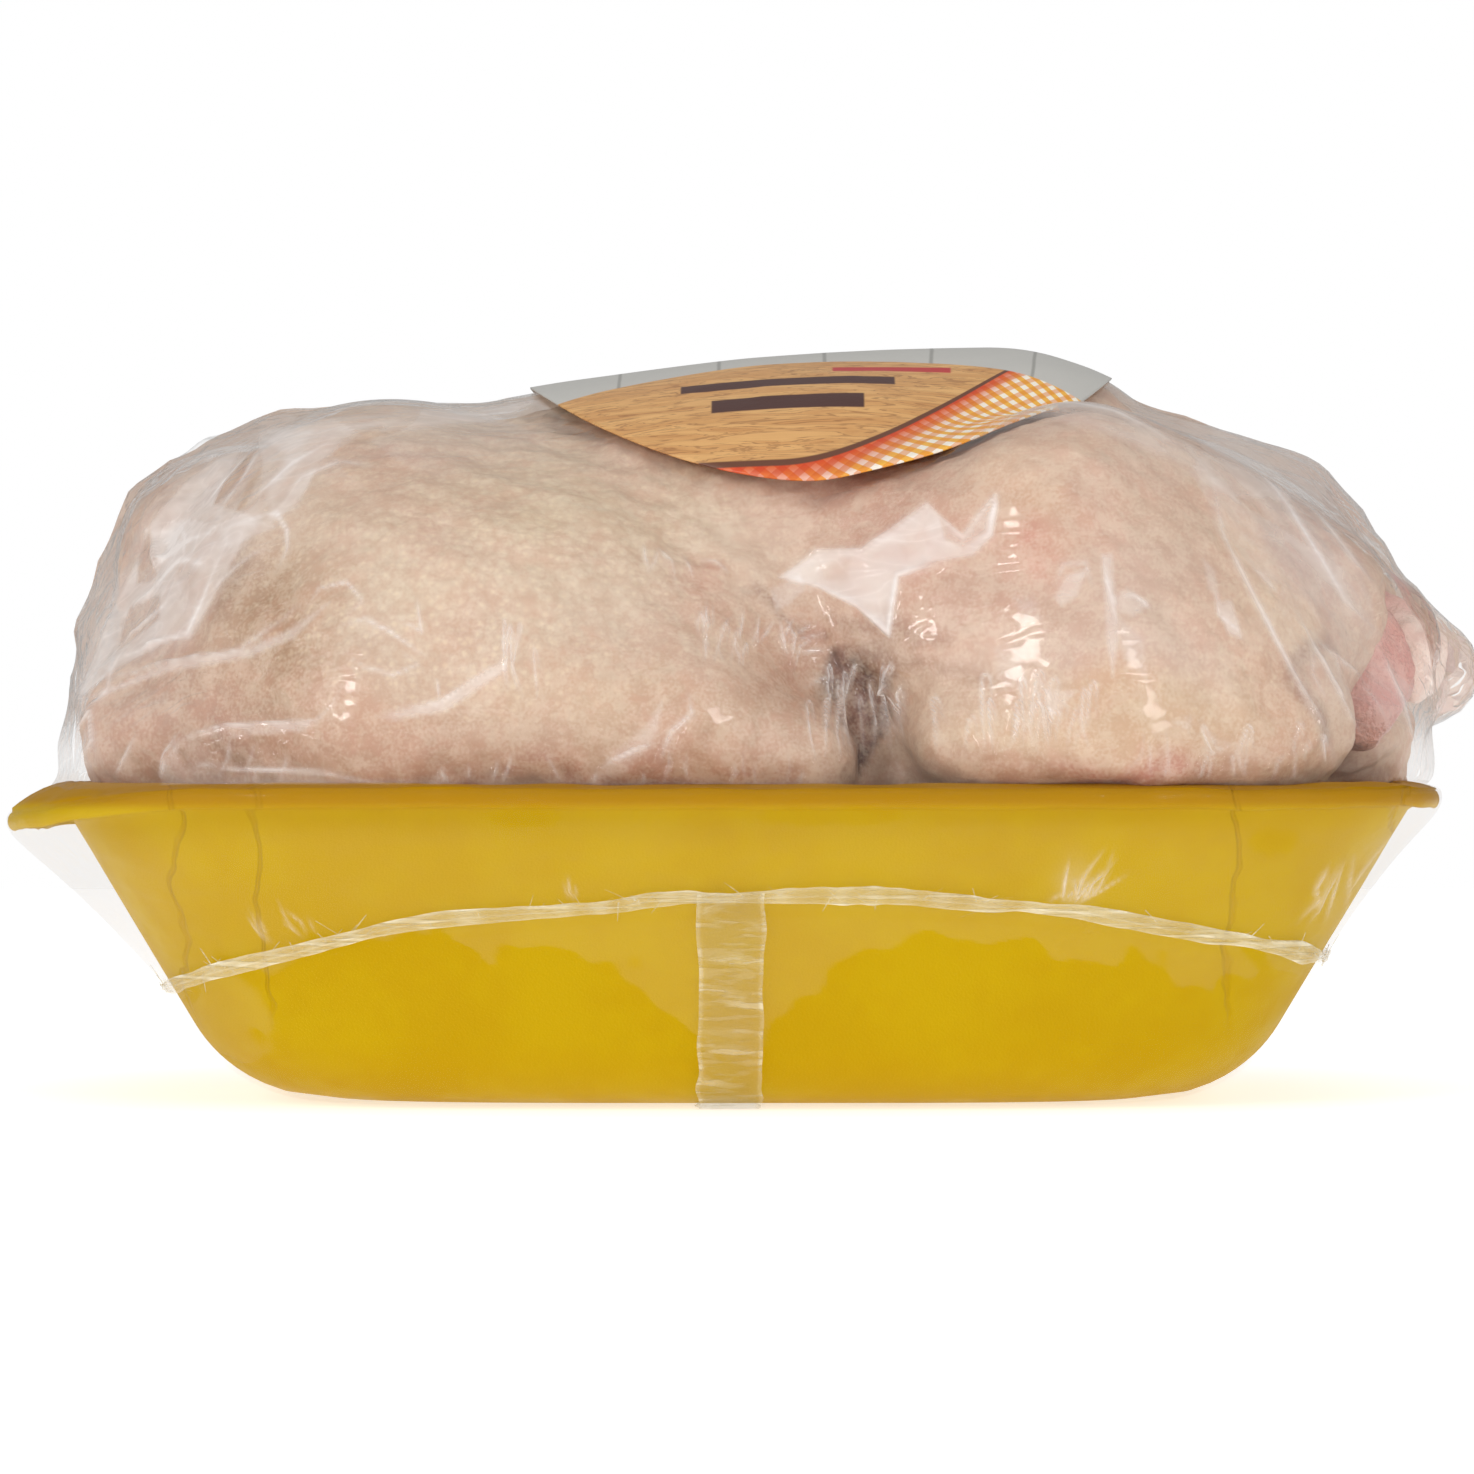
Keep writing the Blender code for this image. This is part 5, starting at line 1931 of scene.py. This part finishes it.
@dataclass
class WeldSeam:
    """The weld that joins the two films: a narrow creased band all round the pack."""

    net: FilmNet
    columns: int = 2400
    half_width: float = 0.0014

    def build(self) -> bpy.types.Object:
        """Lays a band of uneven width on the film, with a raised middle."""
        angle = self.net.even_angles(-math.pi, math.pi, self.columns + 1)[:-1]
        middle = self.net.at(np.full(angle.shape, self.net.seam_row), angle)
        above = self.net.at(np.full(angle.shape, self.net.seam_row - 0.6), angle)
        up = above - middle
        up /= np.linalg.norm(up, axis=1, keepdims=True)
        ahead = np.roll(middle, -1, axis=0) - np.roll(middle, 1, axis=0)
        out = np.cross(ahead, up)
        out /= np.linalg.norm(out, axis=1, keepdims=True)
        out *= np.where((out * middle).sum(axis=1, keepdims=True) < 0.0, -1.0, 1.0)
        round_way = np.stack([np.cos(angle), np.sin(angle)], axis=1) * 0.1
        width = 1.0 + 0.30 * waves(round_way, 0.026, 81) + 0.05 * waves(round_way, 0.006, 82)
        width = self.half_width * width
        sway = 0.0006 * waves(round_way, 0.034, 83) + 0.00012 * waves(round_way, 0.009, 84)
        shares = np.linspace(-1.0, 1.0, 11)[:, None]
        bulge = 0.0004 + 0.0003 * (1.0 - shares**2) + 0.00012 * np.cos(2.5 * math.pi * shares)
        reach = (shares * width + sway)[..., None]
        points = middle + up * reach + out * bulge[..., None]
        dense = 0.75 + 0.75 * np.abs(shares) ** 4 + 0.45 * np.exp(-((shares / 0.16) ** 2))
        dense = dense * (1.0 + 0.25 * waves(round_way, 0.008, 85))
        return Surface("weld_seam", points[::-1], wraps=True, values={"dense": dense[::-1]}).build()


@dataclass
class WeldSpikes:
    """Thin pulled creases that stand off the weld, each a narrow tapering blade."""

    net: FilmNet
    count: int = 150
    length: tuple[float, float] = (0.0006, 0.0020)

    def build(self) -> bpy.types.Object:
        """Spreads blades along the weld, bunched in places, each of four rows by three columns."""
        random = np.random.default_rng(91)
        spots = random.uniform(-math.pi, math.pi, self.count)
        bunches = np.repeat([-2.60, -2.34, -1.76, -1.60, -1.10, -0.42], 9)
        spots = np.concatenate([spots, bunches + random.normal(0.0, 0.035, bunches.size)])
        length = random.uniform(*self.length, spots.size) * random.choice([0.5, 0.8, 1.5], spots.size)
        sign = np.where(random.uniform(size=spots.size) < 0.7, -1.0, 1.0)
        lean = random.normal(0.0, 0.012, spots.size)
        share = np.linspace(0.0, 1.0, 4)[:, None]
        rows = self.net.seam_row + sign * share * length / 0.0042
        angle = spots + lean * share * 4.0
        middle = self.net.at(rows, angle)
        side = self.net.at(rows, angle + 0.002) - middle
        side /= np.linalg.norm(side, axis=-1, keepdims=True)
        out = middle * (1.0, 1.0, 0.0)
        out /= np.linalg.norm(out, axis=-1, keepdims=True)
        half = (0.00016 * (1.0 - 0.85 * share) * random.uniform(0.6, 1.5, spots.size))[..., None]
        columns = np.stack([middle - side * half, middle + out * 0.00015, middle + side * half], axis=-2)
        columns = columns + out[..., None, :] * 0.0005
        points = np.moveaxis(columns, 1, 0)
        number = np.arange(points.size // 3).reshape(points.shape[:3])
        here, right = number[:, :-1, :-1], number[:, :-1, 1:]
        below, beyond = number[:, 1:, :-1], number[:, 1:, 1:]
        quads = np.stack([here, right, beyond, below], axis=-1).reshape(-1, 4)
        mesh = bpy.data.meshes.new("weld_spikes")
        mesh.from_pydata(points.reshape(-1, 3), [], quads)
        layer = mesh.attributes.new("dense", "FLOAT", "POINT")
        layer.data.foreach_set("value", np.full(points.size // 3, 1.0))
        mesh.shade_smooth()
        thing = bpy.data.objects.new("weld_spikes", mesh)
        bpy.context.scene.collection.objects.link(thing)
        return thing


@dataclass
class LapStrip:
    """The doubled strip of film that runs down from the weld and under the foot."""

    net: FilmNet
    left: float = -0.0068
    right: float = 0.0050

    def build(self) -> bpy.types.Object:
        """Lays a strip of nearly even width on the film, with level wrinkles and a kinked edge."""
        rows = np.linspace(self.net.seam_row - 0.25, self.net.last_row - 1.2, 260)[:, None]
        share = np.linspace(0.0, 1.0, 26)[None, :]
        down = (rows - rows[0]) / (rows[-1] - rows[0])
        left = self.left - 0.0006 * down + 0.0005 * waves(np.stack([rows, rows * 0.0], -1), 2.4, 95)
        right = self.right - 0.0012 * down + 0.0003 * waves(np.stack([rows, rows * 0.0], -1), 1.6, 96)
        along = left + (right - left) * share
        angle = np.full(along.shape, -0.5 * math.pi)
        for _ in range(4):
            place = self.net.at(rows * np.ones_like(along), angle)
            angle = -0.5 * math.pi + np.arctan2(along, -place[..., 1].clip(max=-0.004))
        points = self.net.at(rows * np.ones_like(along), angle)
        wrinkle = smooth_step(waves(points * (0.4, 1.0, 2.2), 0.006, 97) * 1.2)
        lift = 0.0008 + 0.0005 * wrinkle * smooth_step((points[..., 2] - 0.004) / 0.004)
        outward = grid_normals(points, np.array([0.0, 0.0, 0.03]))
        points = points + outward * lift[..., None]
        points[..., 2] = np.maximum(points[..., 2], 0.00005)
        edge = np.minimum(share, 1.0 - share)
        dense = 0.60 + 1.1 * smooth_step((0.09 - edge) / 0.07) + 0.5 * wrinkle
        return Surface("lap_strip", points, values={"dense": dense}).build()


@dataclass
class RoundLabel:
    """The paper label laid over the top of the film."""

    net: FilmNet
    centre_x: float = 0.016
    half: tuple[float, float] = (0.058, 0.056)
    top: float = 0.1375
    side_drop: float = 0.025
    rings: int = 60
    spokes: int = 180
    paper: float = 0.0003
    gap: float = 0.0007
    lift: float = 0.0021
    lift_x: float = 0.030
    lift_reach: float = 0.050

    def build(self) -> bpy.types.Object:
        """Drops a round grid onto the film along rays from the film's centre, then thickens it."""
        share = np.linspace(0.0, 1.0, self.rings)[:, None]
        turn = np.linspace(0.0, FULL_TURN, self.spokes, endpoint=False)[None, :]
        flat = np.stack([share * np.cos(turn), share * np.sin(turn)], axis=-1)
        target = np.concatenate([flat * np.array(self.half), np.zeros((*flat.shape[:-1], 1))], -1)
        target = target + np.array([self.centre_x, 0.0, self.top])
        target[..., 2] -= self.side_drop * flat[..., 1] ** 2
        points = self.drop(target)
        points[0] = points[0].mean(axis=0)
        surface = Surface("paper_label", points, wraps=True, first_pole=True, flat_map=flat)
        label = surface.build()
        thick = label.modifiers.new("paper", "SOLIDIFY")
        thick.thickness = self.paper
        thick.offset = 1.0
        return label

    def drop(self, target: np.ndarray) -> np.ndarray:
        """Points of the film on the rays through targets, found by stepping over the film's knots."""
        centre = np.array(self.net.form.centre)
        ray = target - centre
        ray /= np.linalg.norm(ray, axis=-1, keepdims=True)
        angle = np.arctan2(ray[..., 1], ray[..., 0])
        rise = np.arcsin(ray[..., 2])
        rows = (0.5 * math.pi - rise) / (0.5 * math.pi) * self.net.rim_row
        for _ in range(8):
            found = self.net.at(rows, angle) - centre
            found_rise = np.arctan2(found[..., 2], np.hypot(found[..., 0], found[..., 1]))
            rows = np.clip(rows + (found_rise - rise) / (0.5 * math.pi) * self.net.rim_row, 0.0, 50.0)
            turn = np.arctan2(found[..., 1], found[..., 0])
            short = (np.arctan2(ray[..., 1], ray[..., 0]) - turn + math.pi) % FULL_TURN - math.pi
            angle = angle + np.where(rows > 0.4, short, 0.0)
        radius = np.linalg.norm(self.net.at(rows, angle) - centre, axis=-1)
        away = np.hypot(target[..., 0] - self.lift_x, target[..., 1])
        radius = radius + self.gap + self.lift * np.exp(-((away / self.lift_reach) ** 2))
        return centre + ray * radius[..., None]


@dataclass(frozen=True)
class Studio:
    """Plain pale floor, soft boxes of light and the camera."""

    sky: float = 0.45

    def build(self) -> None:
        """Adds the floor, the lights and the camera."""
        self.floor()
        self.world()
        self.soft_box("soft_box_top", (0.0, -0.50, 1.20), (0.0, 0.0, 0.06), (1.4, 0.9), 3.0)
        self.soft_box("soft_box_left", (-1.10, -1.05, 0.55), (0.0, 0.0, 0.05), (1.2, 0.9), 4.0)
        self.soft_box("soft_box_right", (1.10, -1.05, 0.55), (0.0, 0.0, 0.05), (1.2, 0.9), 2.4)
        self.soft_box("lamp_left", (-0.75, -1.20, 0.62), (0.0, 0.0, 0.06), (0.14, 0.50), 2.9)
        self.soft_box("lamp_right", (0.70, -1.25, 0.50), (0.0, 0.0, 0.06), (0.14, 0.50), 1.7)
        self.camera()

    def floor(self) -> None:
        """A wide pale floor, marked as stage."""
        mesh = bpy.data.meshes.new("floor")
        side = 1.6
        corners = [(-side, -side, 0.0), (side, -side, 0.0), (side, side, 0.0), (-side, side, 0.0)]
        mesh.from_pydata(corners, [], [(0, 1, 2, 3)])
        floor = bpy.data.objects.new("floor", mesh)
        bpy.context.scene.collection.objects.link(floor)
        paint = Paint("pale_floor")
        shader = paint.shader(base_color=(0.86, 0.86, 0.86), roughness=0.9, specular_ior_level=0.0)
        paint.feed(shader.inputs["Emission Color"], (1.0, 1.0, 1.0))
        paint.feed(shader.inputs["Emission Strength"], 0.62)
        floor.data.materials.append(paint.finish(shader))
        floor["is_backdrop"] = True

    def world(self) -> None:
        """A plain bright surround."""
        world = bpy.data.worlds.new("surround")
        bpy.context.scene.world = world
        world.use_nodes = True
        nodes, links = world.node_tree.nodes, world.node_tree.links
        background = nodes["Background"]
        background.inputs["Color"].default_value = (1.0, 1.0, 1.0, 1.0)
        path = nodes.new("ShaderNodeLightPath")
        strength = nodes.new("ShaderNodeMapRange")
        strength.inputs["To Min"].default_value = self.sky
        links.new(path.outputs["Is Camera Ray"], strength.inputs["Value"])
        links.new(strength.outputs["Result"], background.inputs["Strength"])
        bpy.context.scene.view_settings.view_transform = "Standard"

    def soft_box(
        self, name: str, place: Triple, aim: Triple, size: Mark, power: float
    ) -> None:
        """A rectangular light that faces a point."""
        data = bpy.data.lights.new(name, "AREA")
        data.shape = "RECTANGLE"
        data.size, data.size_y = size
        data.energy = power
        lamp = bpy.data.objects.new(name, data)
        lamp.location = place
        lamp.rotation_euler = turn_towards(place, aim)
        bpy.context.scene.collection.objects.link(lamp)

    def camera(self) -> None:
        """A level camera square to the shown side, at the picture's distance."""
        data = bpy.data.cameras.new("view")
        data.sensor_width = 36.0
        data.lens = 36.0 * VIEW_DISTANCE / (VIEW_SIZE * VIEW_PIXEL)
        camera = bpy.data.objects.new("view", data)
        camera.location = (0.0, -VIEW_DISTANCE, VIEW_LEVEL)
        camera.rotation_euler = (0.5 * math.pi, 0.0, 0.0)
        bpy.context.scene.collection.objects.link(camera)
        bpy.context.scene.camera = camera


def turn_towards(place: Triple, aim: Triple) -> Triple:
    """Turn that points a lamp's -Z at a place."""
    way = np.array(aim) - np.array(place)
    flat = math.hypot(way[0], way[1])
    return (math.atan2(flat, -way[2]), 0.0, math.atan2(-way[0], way[1]))


def dress(thing: bpy.types.Object, material: bpy.types.Material, slot: str, *nodes: str) -> None:
    """Gives a piece its finish and its place on the body, and hides the solids that it replaces.

    Args:
        thing: the finished piece.
        material: its finish.
        slot: the record's material slot; not used.
        nodes: solids that it replaces.
    """
    thing.data.materials.append(material)
    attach(thing, "root")
    if nodes:
        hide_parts(*nodes)
    LOG.info("%s: %d faces", thing.name, len(thing.data.polygons))


def main() -> None:
    """Builds the studio and every piece in order, and works out the model's size."""
    logging.basicConfig(level=logging.INFO, format="%(message)s")
    Studio().build()
    mottle, crinkle = mottle_effect(), crinkle_effect()
    net = FilmNet(FilmForm())
    dress(FoamTray().build(), FoamFinish().make(mottle), "yellow_foam", "tray")
    dress(BirdSkin().build(), SkinFinish().make(mottle), "wrapped_skin", "wrapped_chicken")
    flesh = FleshFinish().make(mottle)
    pale, pink = linear_colour(226, 190, 172), linear_colour(216, 154, 144)
    tan, white = linear_colour(206, 140, 112), linear_colour(248, 224, 210)
    near_end = LegEnd(
        "near_leg_end",
        (
            (0.094, -0.032, 0.090), (0.107, -0.030, 0.086), (0.1145, -0.029, 0.080),
            (0.1135, -0.032, 0.071), (0.1115, -0.033, 0.0645),
        ),
        (0.0110, 0.0115, 0.0105, 0.0080, 0.0050),
        (pale, pale, pink, pink, tan),
        101,
    )
    far_end = LegEnd(
        "far_leg_end",
        (
            (0.100, 0.034, 0.096), (0.112, 0.022, 0.090), (0.121, 0.014, 0.085),
            (0.1280, 0.008, 0.0815), (0.1330, 0.005, 0.0800),
        ),
        (0.0140, 0.0125, 0.0100, 0.0090, 0.0070),
        (pale, pale, pink, white, white),
        104,
    )
    for end in (near_end, far_end):
        dress(end.build(), flesh, "wrapped_skin", "wrapped_chicken")
    film = ClearFilm(net)
    clear = FilmFinish("clear_film").make(crinkle)
    for side in Side:
        for piece in film.over(side):
            dress(piece, clear, "wrapped_skin", "wrapped_chicken")
    dress(film.under(), FilmFinish("close_film", crinkled=False).make(crinkle), "wrapped_skin")
    weld = WeldFinish("welded_film", 0.32, 0.26, (0.10, 0.10, 3.2)).make(crinkle)
    lapped = WeldFinish("lapped_film", 0.13, 0.16, (0.5, 0.5, 3.0)).make(crinkle)
    dress(WeldSeam(net).build(), weld, "wrapped_skin")
    dress(WeldSpikes(net).build(), weld, "wrapped_skin")
    dress(LapStrip(net).build(), lapped, "wrapped_skin")
    dress(RoundLabel(net).build(), PrintFinish().make(mottle), "label_paper", "label")
    boxes = {"cad": CAD_BOX, "visual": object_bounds()}
    sizes = {name: [list(corner) for corner in box] for name, box in boxes.items()}


if __name__ == "__main__":
    main()
